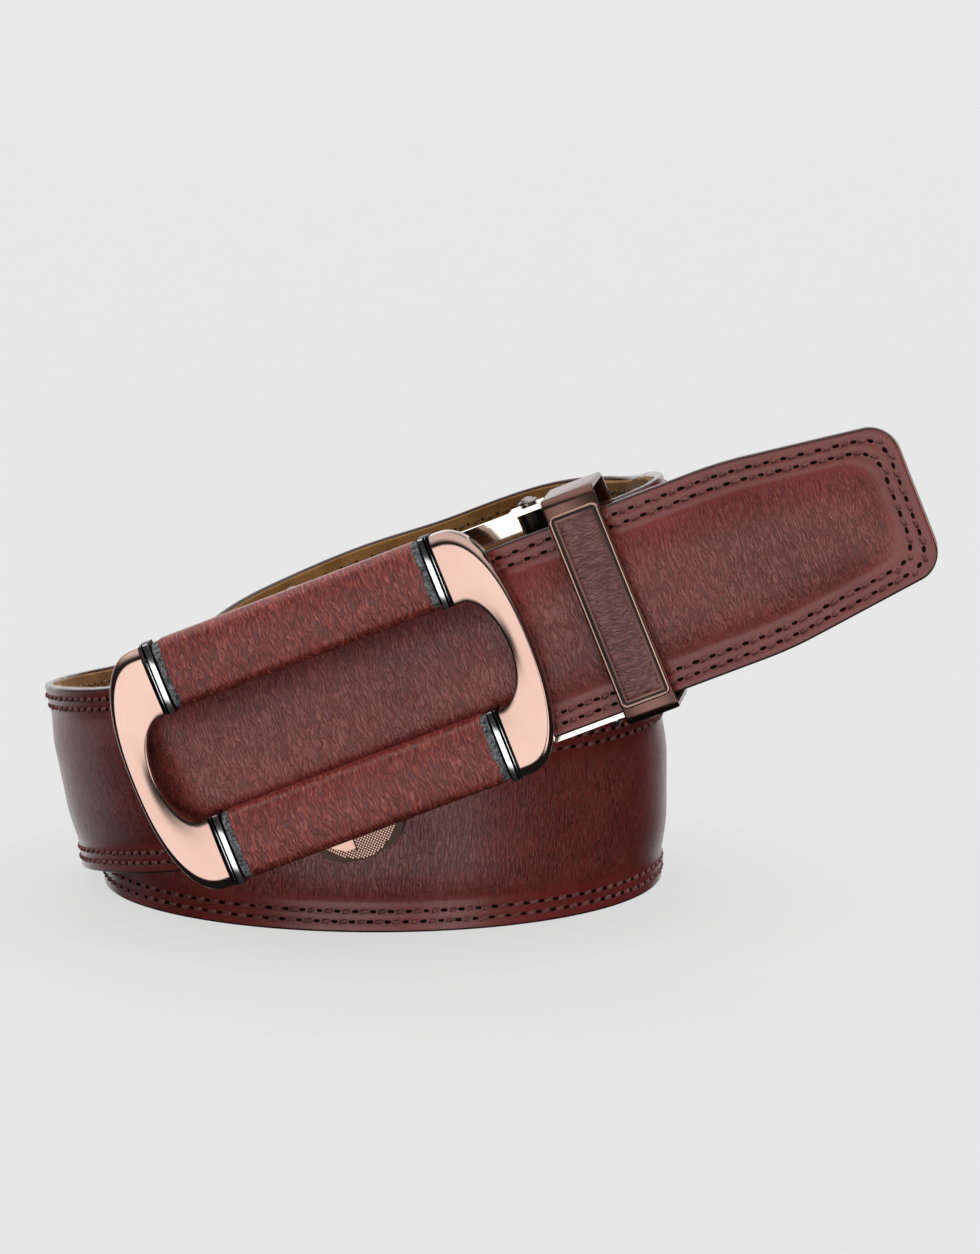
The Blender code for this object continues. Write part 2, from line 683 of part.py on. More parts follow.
def build_frame():
    """The frame behind the gate: a plate with side walls, ears and pin holes."""
    half = FRAME_WIDTH / 2
    plate = prism_mesh("buckle_frame", frame_plate_outline(), PLATE_BACK, PLATE_FRONT, (0, 1))
    frame = place_in_buckle(add_object("buckle_frame", plate, ROSE_LOOK))
    for row, sign in (("upper", 1), ("lower", -1)):
        wall_v = sorted((sign * half, sign * (half - WALL_THICKNESS)))
        pieces = (
            ("wall", -HORN_START + FIT_GAP, HORN_START, PLATE_BACK + OVERLAP, GATE_BACK - FIT_GAP),
            ("lever_ear", LEVER_PIN_U - EAR_WIDTH / 2, LEVER_PIN_U + EAR_WIDTH / 2,
             LEVER_PIN_N - BARREL_RADIUS, PLATE_FRONT - OVERLAP),
            ("rail", HORN_START - FIT_GAP, CLAMP_PIN_U + BARREL_RADIUS,
             PLATE_BACK - OVERLAP, PLATE_FRONT + RAIL_PROUD),
            ("clamp_ear", CLAMP_PIN_U - EAR_WIDTH / 2, CLAMP_PIN_U + BARREL_RADIUS,
             CLAMP_PIN_N - BARREL_RADIUS, PLATE_FRONT),
        )
        for label, start, end, back, front in pieces:
            mesh = box_mesh(label, (start, wall_v[0], back), (end, wall_v[1], front))
            add_boolean(frame, "UNION", add_helper(f"{label}_{row}_fill", mesh))
    reach = half + WALL_THICKNESS
    for label, u, n in (("lever", LEVER_PIN_U, LEVER_PIN_N), ("clamp", CLAMP_PIN_U, CLAMP_PIN_N)):
        hole = rod_mesh(label, u, n, BORE_RADIUS, -reach, reach)
        add_boolean(frame, "DIFFERENCE", add_helper(f"{label}_hole_cut", hole))
    pawl_u = LEVER_PIN_U + LEVER_PAWL_ARM
    window = box_mesh(
        "window",
        (pawl_u - PAWL_WINDOW_LENGTH / 2, -PAWL_WINDOW_WIDTH / 2 - STRAP_DROP, PLATE_BACK - CUT_RUN),
        (pawl_u + PAWL_WINDOW_LENGTH / 2, PAWL_WINDOW_WIDTH / 2 - STRAP_DROP, PLATE_FRONT + CUT_RUN),
    )
    add_boolean(frame, "DIFFERENCE", add_helper("pawl_window_cut", window))


def pin_mesh(name, u, n):
    """A cross pin with a domed head on the upper wall and a flush lower end."""
    half = FRAME_WIDTH / 2
    head_foot = half + FIT_GAP
    profile = [
        (0.0, -half),
        (PIN_RADIUS, -half),
        (PIN_RADIUS, head_foot),
        (PIN_HEAD_RADIUS, head_foot),
        (PIN_HEAD_RADIUS, head_foot + PIN_HEAD_HEIGHT * 0.35),
        (PIN_HEAD_RADIUS * 0.75, head_foot + PIN_HEAD_HEIGHT * 0.8),
        (0.0, head_foot + PIN_HEAD_HEIGHT),
    ]
    bm = bmesh.new()
    verts = [bm.verts.new((u + radius, v, n)) for radius, v in profile]
    edges = [bm.edges.new(pair) for pair in zip(verts, verts[1:])]
    bmesh.ops.spin(bm, geom=verts + edges, cent=(u, 0.0, n), axis=(0.0, 1.0, 0.0),
                   angle=math.radians(360.0), steps=14, use_duplicate=False)
    bmesh.ops.remove_doubles(bm, verts=bm.verts, dist=MERGE_DISTANCE)
    return finish_mesh(name, bm)


def build_pins():
    """The lever's pin and the clamp's pin."""
    for name, u, n in (("lever_pin", LEVER_PIN_U, LEVER_PIN_N),
                       ("clamp_pin", CLAMP_PIN_U, CLAMP_PIN_N)):
        place_in_buckle(add_object(name, pin_mesh(name, u, n), STEEL_LOOK))


def tab_outline():
    """Outline of the lever's finger tab below the lower wall, with a bowed lower edge."""
    top = -(FRAME_WIDTH / 2 + PIN_CLEARANCE)
    left = LEVER_PIN_U - LEVER_LEFT - 2 * LEVER_SIDE_MARGIN
    right = LEVER_PIN_U + LEVER_TAB_RIGHT
    middle = (left + right) / 2
    half = (right - left) / 2
    outline = [(right, top), (left, top)]
    steps = 10
    for step in range(steps + 1):
        angle = math.pi * (1 + step / steps)
        bow = abs(math.sin(angle)) ** 0.8
        drop = TAB_DROP * (TAB_SIDE_SHARE + (1 - TAB_SIDE_SHARE) * bow)
        outline.append((middle + half * math.cos(angle), top - drop))
    return outline


def build_lever():
    """The release lever: a plate on a barrel, its pawl and its finger tab, one solid."""
    reach = FRAME_WIDTH / 2 - WALL_THICKNESS - FIT_GAP
    front = LEVER_PIN_N + LEVER_THICKNESS / 2
    back = LEVER_PIN_N - LEVER_THICKNESS / 2
    left = LEVER_PIN_U - LEVER_LEFT
    pawl_u = LEVER_PIN_U + LEVER_PAWL_ARM
    right = pawl_u + PAWL_THICKNESS / 2 + LEVER_SIDE_MARGIN
    plate = box_mesh("release_lever", (left, -reach, back), (right, reach, front))
    lever = add_object("release_lever", plate, ROSE_LOOK)

    barrel = rod_mesh("barrel", LEVER_PIN_U, LEVER_PIN_N, BARREL_RADIUS, -reach, reach)
    add_boolean(lever, "UNION", add_helper("lever_barrel_fill", barrel))
    pawl = box_mesh(
        "pawl",
        (pawl_u - PAWL_THICKNESS / 2, -TRACK_WIDTH / 2 - STRAP_DROP, front - OVERLAP),
        (pawl_u + PAWL_THICKNESS / 2, TRACK_WIDTH / 2 - STRAP_DROP, TRACK_BACK - FIT_GAP),
    )
    add_boolean(lever, "UNION", add_helper("lever_pawl_fill", pawl))
    neck_right = LEVER_PIN_U - EAR_WIDTH / 2 - 2 * FIT_GAP
    tab_top = -(FRAME_WIDTH / 2 + PIN_CLEARANCE)
    neck = box_mesh("neck", (left, tab_top - CUT_RUN, back), (neck_right, -reach + CUT_RUN, front))
    add_boolean(lever, "UNION", add_helper("lever_neck_fill", neck))
    tab = prism_mesh("tab", tab_outline(), back + TAB_OFFSET, back + TAB_OFFSET + TAB_THICKNESS, (0, 1))
    add_boolean(lever, "UNION", add_helper("lever_tab_fill", tab))
    bore = rod_mesh("bore", LEVER_PIN_U, LEVER_PIN_N, BORE_RADIUS, -reach - CUT_RUN, reach + CUT_RUN)
    add_boolean(lever, "DIFFERENCE", add_helper("lever_bore_cut", bore))
    put_on_axis(lever)


def put_on_axis(lever):
    """Give the lever its origin on its pin's axis, with its shape left where it is."""
    origin = Vector((LEVER_PIN_U, 0.0, LEVER_PIN_N))
    lever.data.transform(Matrix.Translation(-origin))
    lever.matrix_world = buckle_matrix() @ Matrix.Translation(origin)


def build_clamp():
    """The plate that grips the strap's fixed end, on a barrel round its pin."""
    reach = FRAME_WIDTH / 2 - WALL_THICKNESS - FIT_GAP
    half = CLAMP_PLATE_WIDTH / 2
    plate = box_mesh(
        "clamp_plate",
        (CLAMP_PIN_U, -half, CLAMP_BACK),
        (FIXED_LEAVES - CLAMP_PLATE_SETBACK, half, CLAMP_FRONT),
    )
    clamp = place_in_buckle(add_object("clamp_plate", plate, STEEL_LOOK))
    barrel = rod_mesh("barrel", CLAMP_PIN_U, CLAMP_PIN_N, BARREL_RADIUS, -reach, reach)
    add_boolean(clamp, "UNION", add_helper("clamp_barrel_fill", barrel))
    bore = rod_mesh("bore", CLAMP_PIN_U, CLAMP_PIN_N, BORE_RADIUS, -reach - CUT_RUN, reach + CUT_RUN)
    add_boolean(clamp, "DIFFERENCE", add_helper("clamp_bore_cut", bore))


def build_keeper():
    """The fixed loop beside the buckle, with a raised rim round its leather inlay."""
    front = KEEPER_INNER_FRONT + KEEPER_FRONT
    middle_n = (front + KEEPER_BACK) / 2
    outline = [(v, n + middle_n) for v, n in
               rounded_rectangle(KEEPER_HEIGHT / 2, (front - KEEPER_BACK) / 2, KEEPER_ROUND)]
    loop = prism_mesh("keeper_loop", outline, KEEPER_START, KEEPER_END, (1, 2))
    keeper = place_in_buckle(add_object("keeper_loop", loop, BRONZE_LOOK))
    inner_half = KEEPER_HEIGHT / 2 - KEEPER_WALL
    hole = box_mesh(
        "hole",
        (KEEPER_START - CUT_RUN, -inner_half, KEEPER_BACK + KEEPER_WALL),
        (KEEPER_END + CUT_RUN, inner_half, KEEPER_INNER_FRONT),
    )
    add_boolean(keeper, "DIFFERENCE", add_helper("keeper_hole_cut", hole))
    middle_u = (KEEPER_START + KEEPER_END) / 2
    pocket_u = INLAY_WIDTH / 2 + FIT_GAP
    pocket_v = INLAY_LENGTH / 2 + FIT_GAP
    rim_u = pocket_u + RIM_WIDTH
    rim_v = pocket_v + RIM_WIDTH
    rim = box_mesh("rim", (middle_u - rim_u, -rim_v, front - OVERLAP),
                   (middle_u + rim_u, rim_v, front + RIM_HEIGHT))
    add_boolean(keeper, "UNION", add_helper("keeper_rim_fill", rim))
    pocket = box_mesh("pocket", (middle_u - pocket_u, -pocket_v, front - INLAY_DEPTH),
                      (middle_u + pocket_u, pocket_v, front + CUT_RUN))
    add_boolean(keeper, "DIFFERENCE", add_helper("keeper_pocket_cut", pocket))
    inlay = box_mesh(
        "keeper_inlay",
        (middle_u - INLAY_WIDTH / 2, -INLAY_LENGTH / 2, front - INLAY_DEPTH + FIT_GAP),
        (middle_u + INLAY_WIDTH / 2, INLAY_LENGTH / 2, front + RIM_HEIGHT / 2),
    )
    inlay_object = place_in_buckle(add_object("keeper_inlay", inlay, WRAP_LOOK))
    add_bevel(inlay_object, EDGE_ROUND, 1)


def stand_on_origin():
    """Move the belt so that the middle of its box's underside is at the origin."""
    bpy.context.view_layer.update()
    depsgraph = bpy.context.evaluated_depsgraph_get()
    low = Vector((math.inf,) * 3)
    high = Vector((-math.inf,) * 3)
    for obj in bpy.data.objects:
        if obj.hide_render:
            continue
        shown = obj.evaluated_get(depsgraph)
        for corner in shown.data.vertices:
            point = obj.matrix_world @ corner.co
            low = Vector(map(min, low, point))
            high = Vector(map(max, high, point))
    middle = (low + high) / 2
    shift = Matrix.Translation((-middle.x, -middle.y, -low.z))
    for obj in bpy.data.objects:
        obj.matrix_world = shift @ obj.matrix_world


def clear_scene():
    """Remove every object that the file opened with."""
    for obj in list(bpy.data.objects):
        bpy.data.objects.remove(obj, do_unlink=True)


def main():
    """Build the whole belt."""
    clear_scene()
    route = StrapRoute()
    add_tip_stations(route)
    build_strap(route)
    build_track()
    build_bars()
    build_ribs()
    build_horns()
    build_frame()
    build_pins()
    build_lever()
    build_clamp()
    build_keeper()
    stand_on_origin()


main()
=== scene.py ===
"""Looks of the ratchet belt: its leather, stitches, polished gate, keeper, light and camera.

Metres, +Z up, the floor at z = 0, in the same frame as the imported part. Inside the
buckle, u runs along the strap towards its tip, v up across it and n out of its face.
"""

import logging
import math
from dataclasses import dataclass, field, replace
from enum import Enum

import bmesh
import bpy
import numpy as np
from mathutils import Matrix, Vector

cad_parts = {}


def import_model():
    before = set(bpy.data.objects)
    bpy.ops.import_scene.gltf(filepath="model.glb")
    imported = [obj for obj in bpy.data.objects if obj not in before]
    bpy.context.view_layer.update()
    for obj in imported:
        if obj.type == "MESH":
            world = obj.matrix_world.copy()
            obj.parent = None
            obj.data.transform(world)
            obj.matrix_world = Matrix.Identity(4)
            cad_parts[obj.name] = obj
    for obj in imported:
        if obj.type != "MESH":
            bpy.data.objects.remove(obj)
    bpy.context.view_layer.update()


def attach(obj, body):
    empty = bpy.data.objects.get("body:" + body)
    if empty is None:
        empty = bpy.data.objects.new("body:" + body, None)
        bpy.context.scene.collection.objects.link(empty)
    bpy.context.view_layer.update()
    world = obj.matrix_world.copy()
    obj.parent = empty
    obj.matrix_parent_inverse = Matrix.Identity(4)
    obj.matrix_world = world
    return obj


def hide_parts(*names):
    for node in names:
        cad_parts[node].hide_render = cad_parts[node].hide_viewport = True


MM = 0.001
log = logging.getLogger("belt")

Point = tuple[float, float, float]
Colour = tuple[float, float, float]


class Side(Enum):
    """The two ends of the gate along u."""

    LEFT = -1
    RIGHT = 1


class Row(Enum):
    """The two bars of the gate along v."""

    UPPER = 1
    LOWER = -1


class Body(Enum):
    """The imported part's bodies."""

    BELT = "belt"
    LEVER = "lever"


class Sheet:
    """Short calls for building a node tree."""

    def __init__(self, tree: bpy.types.NodeTree) -> None:
        """Keep the tree to build in."""
        self.tree = tree

    def add(self, kind: str, fed: dict[str | int, object] | None = None,
            **settings: object) -> bpy.types.Node:
        """Add a node.

        Args:
            kind: the node's type name.
            fed: what each of its inputs is given.
            settings: attributes to set on it first.

        Returns:
            The new node.
        """
        node = self.tree.nodes.new(kind)
        for key, value in settings.items():
            setattr(node, key, value)
        for key, value in (fed or {}).items():
            self.feed(node.inputs[key], value)
        return node

    def feed(self, socket: bpy.types.NodeSocket, value: object) -> None:
        """Give an input another node's output, a colour as a tuple, or a plain value.

        Args:
            socket: the input.
            value: what it is given.
        """
        if isinstance(value, bpy.types.NodeSocket):
            self.tree.links.new(value, socket)
        elif isinstance(value, tuple):
            socket.default_value = (*value, 1.0)
        else:
            socket.default_value = value

    def math(self, operation: str, *values: object) -> bpy.types.NodeSocket:
        """A Math node fed with numbers or outputs."""
        return self.add("ShaderNodeMath", dict(enumerate(values)), operation=operation).outputs[0]

    def weigh(self, first: object, share: float, second: object,
              other: float) -> bpy.types.NodeSocket:
        """The sum of two values, each times its own weight."""
        return self.math("ADD", self.math("MULTIPLY", first, share),
                         self.math("MULTIPLY", second, other))

    def spread(self, value: object, low: float, high: float, to_low: float,
               to_high: float) -> bpy.types.NodeSocket:
        """Move a value from one range to another with soft ends.

        Args:
            value: the output to read.
            low: where the result starts to change.
            high: where it stops.
            to_low: the result at low.
            to_high: the result at high.

        Returns:
            The moved value.
        """
        fed = {"Value": value, "From Min": low, "From Max": high, "To Min": to_low, "To Max": to_high}
        return self.add("ShaderNodeMapRange", fed, interpolation_type="SMOOTHSTEP").outputs["Result"]


class MaterialSheet(Sheet):
    """The nodes of one material."""

    def __init__(self, name: str) -> None:
        """Start a material with its output and its shader.

        Args:
            name: the material's name.
        """
        self.material = bpy.data.materials.new(name)
        self.material.use_nodes = True
        super().__init__(self.material.node_tree)
        self.shader = self.tree.nodes["Principled BSDF"]

    def mix(self, share: object, first: object, second: object) -> bpy.types.NodeSocket:
        """Mix two colours, with a share of the second.

        Args:
            share: how much of the second colour.
            first: a colour or an output.
            second: a colour or an output.

        Returns:
            The mixed colour.
        """
        node = self.add("ShaderNodeMix", data_type="RGBA")
        inputs = [socket for socket in node.inputs if socket.enabled]
        for socket, value in zip(inputs, (share, first, second)):
            self.feed(socket, value)
        return [socket for socket in node.outputs if socket.enabled][0]

    def object_place(self) -> bpy.types.NodeSocket:
        """The point in the row frame, in metres."""
        return self.add("ShaderNodeTexCoord").outputs["Object"]

    def strap_place(self) -> tuple[bpy.types.NodeSocket, bpy.types.NodeSocket]:
        """The place along and across the piece in millimetres, from its own UV map.

        Returns:
            The two places.
        """
        surface = self.add("ShaderNodeUVMap", uv_map="Surface").outputs[0]
        split = self.add("ShaderNodeSeparateXYZ", {0: surface})
        return (self.math("MULTIPLY", split.outputs[0], 1000.0),
                self.math("MULTIPLY", split.outputs[1], 1000.0))

    def join(self, x: object, y: object, z: object = 0.0) -> bpy.types.NodeSocket:
        """A vector from three numbers or outputs."""
        return self.add("ShaderNodeCombineXYZ", {0: x, 1: y, 2: z}).outputs[0]

    def noise(self, place: bpy.types.NodeSocket, scale: float, detail: float = 3.0,
              roughness: float = 0.55, distortion: float = 0.0) -> bpy.types.NodeSocket:
        """Noise between 0 and 1 at a place.

        Args:
            place: the vector to read.
            scale: how many features fit in one unit.
            detail: how many finer layers.
            roughness: how strong the finer layers are.
            distortion: how far the pattern swirls.

        Returns:
            The noise value.
        """
        fed = {"Vector": place, "Scale": scale, "Detail": detail, "Roughness": roughness,
               "Distortion": distortion}
        return self.add("ShaderNodeTexNoise", fed).outputs["Fac"]

    def bump(self, height: object, distance: float, strength: float = 1.0) -> bpy.types.NodeSocket:
        """The normal bent by a height between 0 and 1, where 1 stands a distance high."""
        fed = {"Height": height, "Distance": distance, "Strength": strength}
        return self.add("ShaderNodeBump", fed).outputs["Normal"]

    def finish(self, colour: object, roughness: object, normal: bpy.types.NodeSocket | None = None,
               **constants: object) -> bpy.types.Material:
        """Feed the shader.

        Args:
            colour: the base colour.
            roughness: the roughness.
            normal: the bent normal.
            constants: other sockets by name, with underscores for spaces.

        Returns:
            The finished material.
        """
        fed = {"Base Color": colour, "Roughness": roughness}
        fed.update({key.replace("_", " "): value for key, value in constants.items()})
        if normal is not None:
            fed["Normal"] = normal
        for key, value in fed.items():
            self.feed(self.shader.inputs[key], value)
        return self.material


class GeometrySheet(Sheet):
    """A Geometry Nodes group that sets small pieces on the points of a mesh."""

    def __init__(self, name: str, settings: dict[str, float]) -> None:
        """Start the group.

        Args:
            name: the group's name.
            settings: its number inputs with their values.
        """
        super().__init__(bpy.data.node_groups.new(name, "GeometryNodeTree"))
        self.settings = settings
        sockets = self.tree.interface
        sockets.new_socket("Places", in_out="INPUT", socket_type="NodeSocketGeometry")
        for key in settings:
            sockets.new_socket(key, in_out="INPUT", socket_type="NodeSocketFloat")
        sockets.new_socket("Pieces", in_out="OUTPUT", socket_type="NodeSocketGeometry")
        self.start = self.add("NodeGroupInput").outputs

    def named(self, name: str) -> bpy.types.NodeSocket:
        """A vector attribute of the points.

        Args:
            name: the attribute's name.

        Returns:
            Its value.
        """
        fed = {"Name": name}
        node = self.add("GeometryNodeInputNamedAttribute", fed, data_type="FLOAT_VECTOR")
        return node.outputs["Attribute"]

    def chance(self, seed: int, low: object, high: object) -> bpy.types.NodeSocket:
        """A random number for each point, between two others."""
        fed = {2: low, 3: high, "Seed": seed}
        return self.add("FunctionNodeRandomValue", fed, data_type="FLOAT").outputs[1]

    def facing(self, run: object) -> bpy.types.NodeSocket:
        """The rotation that turns Z to the points' own direction out and X towards a direction.

        Args:
            run: the direction for X.

        Returns:
            The rotation.
        """
        stand = self.add("FunctionNodeAlignRotationToVector", {"Vector": self.named("out")}, axis="Z")
        fed = {"Rotation": stand.outputs["Rotation"], "Vector": run}
        turn = self.add("FunctionNodeAlignRotationToVector", fed, axis="X", pivot_axis="Z")
        return turn.outputs["Rotation"]

    def scatter(self, points: bpy.types.NodeSocket, form: bpy.types.Object,
                rotation: bpy.types.NodeSocket, scale: bpy.types.NodeSocket,
                material: bpy.types.Material) -> bpy.types.NodeSocket:
        """Set a form on each point as real geometry.

        Args:
            points: the points.
            form: the object whose mesh is set.
            rotation: its rotation at each point.
            scale: its scale at each point.
            material: its material.

        Returns:
            The geometry.
        """
        info = self.add("GeometryNodeObjectInfo", {"Object": form})
        place = self.add("GeometryNodeInstanceOnPoints",
                         {"Points": points, "Instance": info.outputs["Geometry"],
                          "Rotation": rotation, "Scale": scale})
        real = self.add("GeometryNodeRealizeInstances", {"Geometry": place.outputs["Instances"]})
        fed = {"Geometry": real.outputs["Geometry"], "Material": material}
        return self.add("GeometryNodeSetMaterial", fed).outputs["Geometry"]

    def grow(self, obj: bpy.types.Object, pieces: bpy.types.NodeSocket,
             *forms: bpy.types.Object) -> bpy.types.Object:
        """Turn an object of bare points into the pieces that the group sets on them.

        Args:
            obj: the object.
            pieces: the group's finished geometry.
            forms: the objects of the small forms, which are removed.

        Returns:
            The same object with its final mesh.
        """
        self.add("NodeGroupOutput", {"Pieces": pieces})
        modifier = obj.modifiers.new(self.tree.name, "NODES")
        modifier.node_group = self.tree
        for item in self.tree.interface.items_tree:
            if item.name in self.settings:
                modifier[item.identifier] = self.settings[item.name]
        bpy.context.view_layer.update()
        depsgraph = bpy.context.evaluated_depsgraph_get()
        mesh = bpy.data.meshes.new_from_object(obj.evaluated_get(depsgraph))
        bare = obj.data
        obj.modifiers.clear()
        obj.data = mesh
        bpy.data.meshes.remove(bare)
        mesh.name = obj.name
        for form in forms:
            bpy.data.objects.remove(form)
        return obj


@dataclass(frozen=True)
class Grain:
    """Fine crackled lines of a leather, in millimetres along and across the piece."""

    pitch: float = 0.92
    length: float = 6.0
    sway: float = 0.50
    line: float = 0.045

    def read(self, sheet: MaterialSheet, along: bpy.types.NodeSocket,
             across: bpy.types.NodeSocket) -> tuple[bpy.types.NodeSocket, bpy.types.NodeSocket]:
        """Make the lines.

        Args:
            sheet: the material's nodes.
            along: place along the piece.
            across: place across it.

        Returns:
            The flakes between the lines, from 0 in a line to 1, and a finer noise.
        """
        swing = sheet.noise(sheet.join(sheet.math("MULTIPLY", along, 0.22),
                                       sheet.math("MULTIPLY", across, 0.26)), 1.0, 2.0)
        bent = sheet.math("ADD", along, sheet.math("MULTIPLY", swing, 2 * self.sway))
        flakes: object = 1.0
        for number, (pitch, length) in enumerate(((self.pitch, self.length),
                                                  (0.62 * self.pitch, 0.4 * self.length))):
            place = sheet.join(sheet.math("DIVIDE", bent, pitch),
                               sheet.math("DIVIDE", across, length), 3.7 * number)
            level = sheet.math("ABSOLUTE", sheet.math("SUBTRACT", sheet.noise(place, 1.0, 1.5), 0.5))
            flakes = sheet.math("MULTIPLY", flakes, sheet.spread(level, 0.0, self.line, 0.25, 1.0))
        place = sheet.join(sheet.math("DIVIDE", bent, 0.32 * self.pitch),
                           sheet.math("DIVIDE", across, 0.24 * self.length))
        return flakes, sheet.noise(place, 1.0, 3.0, 0.6)


@dataclass(frozen=True)
class StrapLeather:
    """Satin leather with crackled lines on its padding and smooth margins, and painted glints on its
    raised flakes.

    The UV map holds the place along and across the strap, in metres. The attribute
    Inset holds the distance from the strap's edge.
    """

    name: str = "strap_leather_finish"
    dark: Colour = (0.230, 0.0260, 0.0205)
    light: Colour = (0.370, 0.0560, 0.0470)
    # Painted highlight: the colour of the glints on raised flakes.
    painted_glint: Colour = (0.560, 0.190, 0.165)
    crack: Colour = (0.060, 0.0060, 0.0050)
    margin: Colour = (0.250, 0.034, 0.030)
    depth: float = 0.130 * MM
    roughness: float = 0.32
    margin_width: float = 5.4

    def build(self) -> bpy.types.Material:
        """Make the material.

        Returns:
            The finished material.
        """
        sheet = MaterialSheet(self.name)
        along, across = sheet.strap_place()
        reader = sheet.add("ShaderNodeAttribute", attribute_name="Inset")
        inset = sheet.math("MULTIPLY", reader.outputs["Fac"], 1000.0)
        flakes, fine = Grain().read(sheet, along, across)
        broad = sheet.noise(sheet.join(sheet.math("MULTIPLY", along, 0.06),
                                       sheet.math("MULTIPLY", across, 0.08)), 1.0, 2.0)
        on_pad = sheet.spread(inset, self.margin_width - 0.4, self.margin_width + 2.2, 0.12, 1.0)
        height = sheet.math("MULTIPLY", sheet.weigh(flakes, 0.60, fine, 0.70), on_pad)
        tone = sheet.weigh(fine, 0.5, broad, 0.5)
        colour = sheet.mix(sheet.spread(tone, 0.36, 0.66, 0.0, 1.0), self.dark, self.light)
        # Painted highlight: raised flakes move towards the glint colour, standing in for light catching
        # them.
        glint_mask = sheet.math("MULTIPLY", flakes, sheet.spread(fine, 0.44, 0.70, 0.0, 1.0))
        colour = sheet.mix(sheet.math("MULTIPLY", sheet.math("MULTIPLY", glint_mask, on_pad), 0.34),
                           colour, self.painted_glint)
        crack = sheet.math("MULTIPLY", sheet.spread(flakes, 0.1, 0.8, 0.62, 0.0), on_pad)
        colour = sheet.mix(crack, colour, self.crack)
        edge = sheet.spread(inset, self.margin_width - 1.0, self.margin_width + 0.5, 0.40, 0.0)
        colour = sheet.mix(edge, colour, self.margin)
        roughness = sheet.math("ADD", self.roughness - 0.06, sheet.math("MULTIPLY", fine, 0.16))
        return sheet.finish(colour, roughness, sheet.bump(height, self.depth, 1.0),
                            IOR=1.5, Specular_IOR_Level=0.62, Coat_Weight=0.20, Coat_Roughness=0.24)


@dataclass(frozen=True)
class WrapLeather:
    """Redder leather with strong lines and painted glints on its raised flakes, for the bars and the
    inlay.
    """

    name: str
    dark: Colour = (0.270, 0.0350, 0.0250)
    light: Colour = (0.460, 0.0760, 0.0560)
    # Painted highlight: the colour of the glints on raised flakes.
    painted_glint: Colour = (0.740, 0.270, 0.180)
    crack: Colour = (0.075, 0.0120, 0.0090)
    grain: Grain = Grain(pitch=1.15, length=6.5, sway=0.9, line=0.070)
    depth: float = 0.110 * MM
    roughness: float = 0.37

    def build(self) -> bpy.types.Material:
        """Make the material.

        Returns:
            The finished material.
        """
        sheet = MaterialSheet(self.name)
        along, across = sheet.strap_place()
        flakes, fine = self.grain.read(sheet, along, across)
        broad = sheet.noise(sheet.join(along, across), 0.12, 2.0)
        height = sheet.weigh(flakes, 0.7, fine, 0.7)
        tone = sheet.weigh(fine, 0.7, broad, 0.3)
        colour = sheet.mix(sheet.spread(tone, 0.36, 0.64, 0.0, 1.0), self.dark, self.light)
        colour = sheet.mix(sheet.spread(flakes, 0.1, 0.8, 0.65, 0.0), colour, self.crack)
        # Painted highlight: raised flakes move towards the glint colour, standing in for light catching
        # them.
        glint_mask = sheet.math("MULTIPLY", flakes, sheet.spread(fine, 0.50, 0.72, 0.0, 1.0))
        colour = sheet.mix(sheet.math("MULTIPLY", glint_mask, 0.55), colour, self.painted_glint)
        roughness = sheet.math("ADD", self.roughness - 0.06, sheet.math("MULTIPLY", fine, 0.16))
        return sheet.finish(colour, roughness, sheet.bump(height, self.depth, 1.0),
                            Specular_IOR_Level=0.66, Coat_Weight=0.10, Coat_Roughness=0.28)


@dataclass(frozen=True)
class Speckle:
    """A finish whose two colours are mixed by fine noise, and by broad noise where given.

    Each noise is a scale in features to a metre, a detail, and where given a roughness
    and a distortion. Without a span the noise mixes the colours as it is.
    """

    name: str
    dark: Colour
    light: Colour
    fine: tuple[float, ...]
    broad: tuple[float, ...] = ()
    fine_share: float = 1.0
    span: tuple[float, ...] = ()
    roughness: float | tuple[float, float] = 0.5
    relief: float = 0.0
    strength: float = 1.0
    constants: dict[str, object] = field(default_factory=dict)

    def build(self) -> bpy.types.Material:
        """Make the material.

        Returns:
            The finished material.
        """
        sheet = MaterialSheet(self.name)
        place = sheet.object_place()
        fine = sheet.noise(place, *self.fine)
        tone = fine
        if self.broad:
            tone = sheet.weigh(fine, self.fine_share, sheet.noise(place, *self.broad),
                               1.0 - self.fine_share)
        if self.span:
            tone = sheet.spread(tone, *self.span, 0.0, 1.0)
        roughness = self.roughness
        if isinstance(roughness, tuple):
            roughness = sheet.spread(fine, *self.span, *roughness)
        normal = sheet.bump(fine, self.relief, self.strength) if self.relief else None
        return sheet.finish(sheet.mix(tone, self.dark, self.light), roughness, normal,
                            **self.constants)


EDGE_PAINT = Speckle(
    "edge_paint_finish", (0.045, 0.0105, 0.0100), (0.080, 0.022, 0.021), fine=(420.0, 2.0),
    span=(0.3, 0.7), roughness=(0.24, 0.38), relief=0.05 * MM, strength=0.6,
    constants={"Coat_Weight": 0.25, "Coat_Roughness": 0.15})
SUEDE = Speckle(
    "suede_finish", (0.200, 0.085, 0.022), (0.400, 0.205, 0.062), fine=(2600.0, 3.0, 0.7),
    broad=(130.0, 4.0, 0.6), fine_share=0.4, span=(0.34, 0.66), roughness=0.92, relief=0.09 * MM,
    strength=0.8,
    constants={"Sheen_Weight": 0.08, "Sheen_Roughness": 0.5, "Specular_IOR_Level": 0.2})
RAW_EDGE = Speckle(
    "raw_edge_finish", (0.030, 0.034, 0.037), (0.36, 0.37, 0.38), fine=(1500.0, 4.0, 0.75, 0.6),
    span=(0.36, 0.64), roughness=0.85, relief=0.25 * MM)
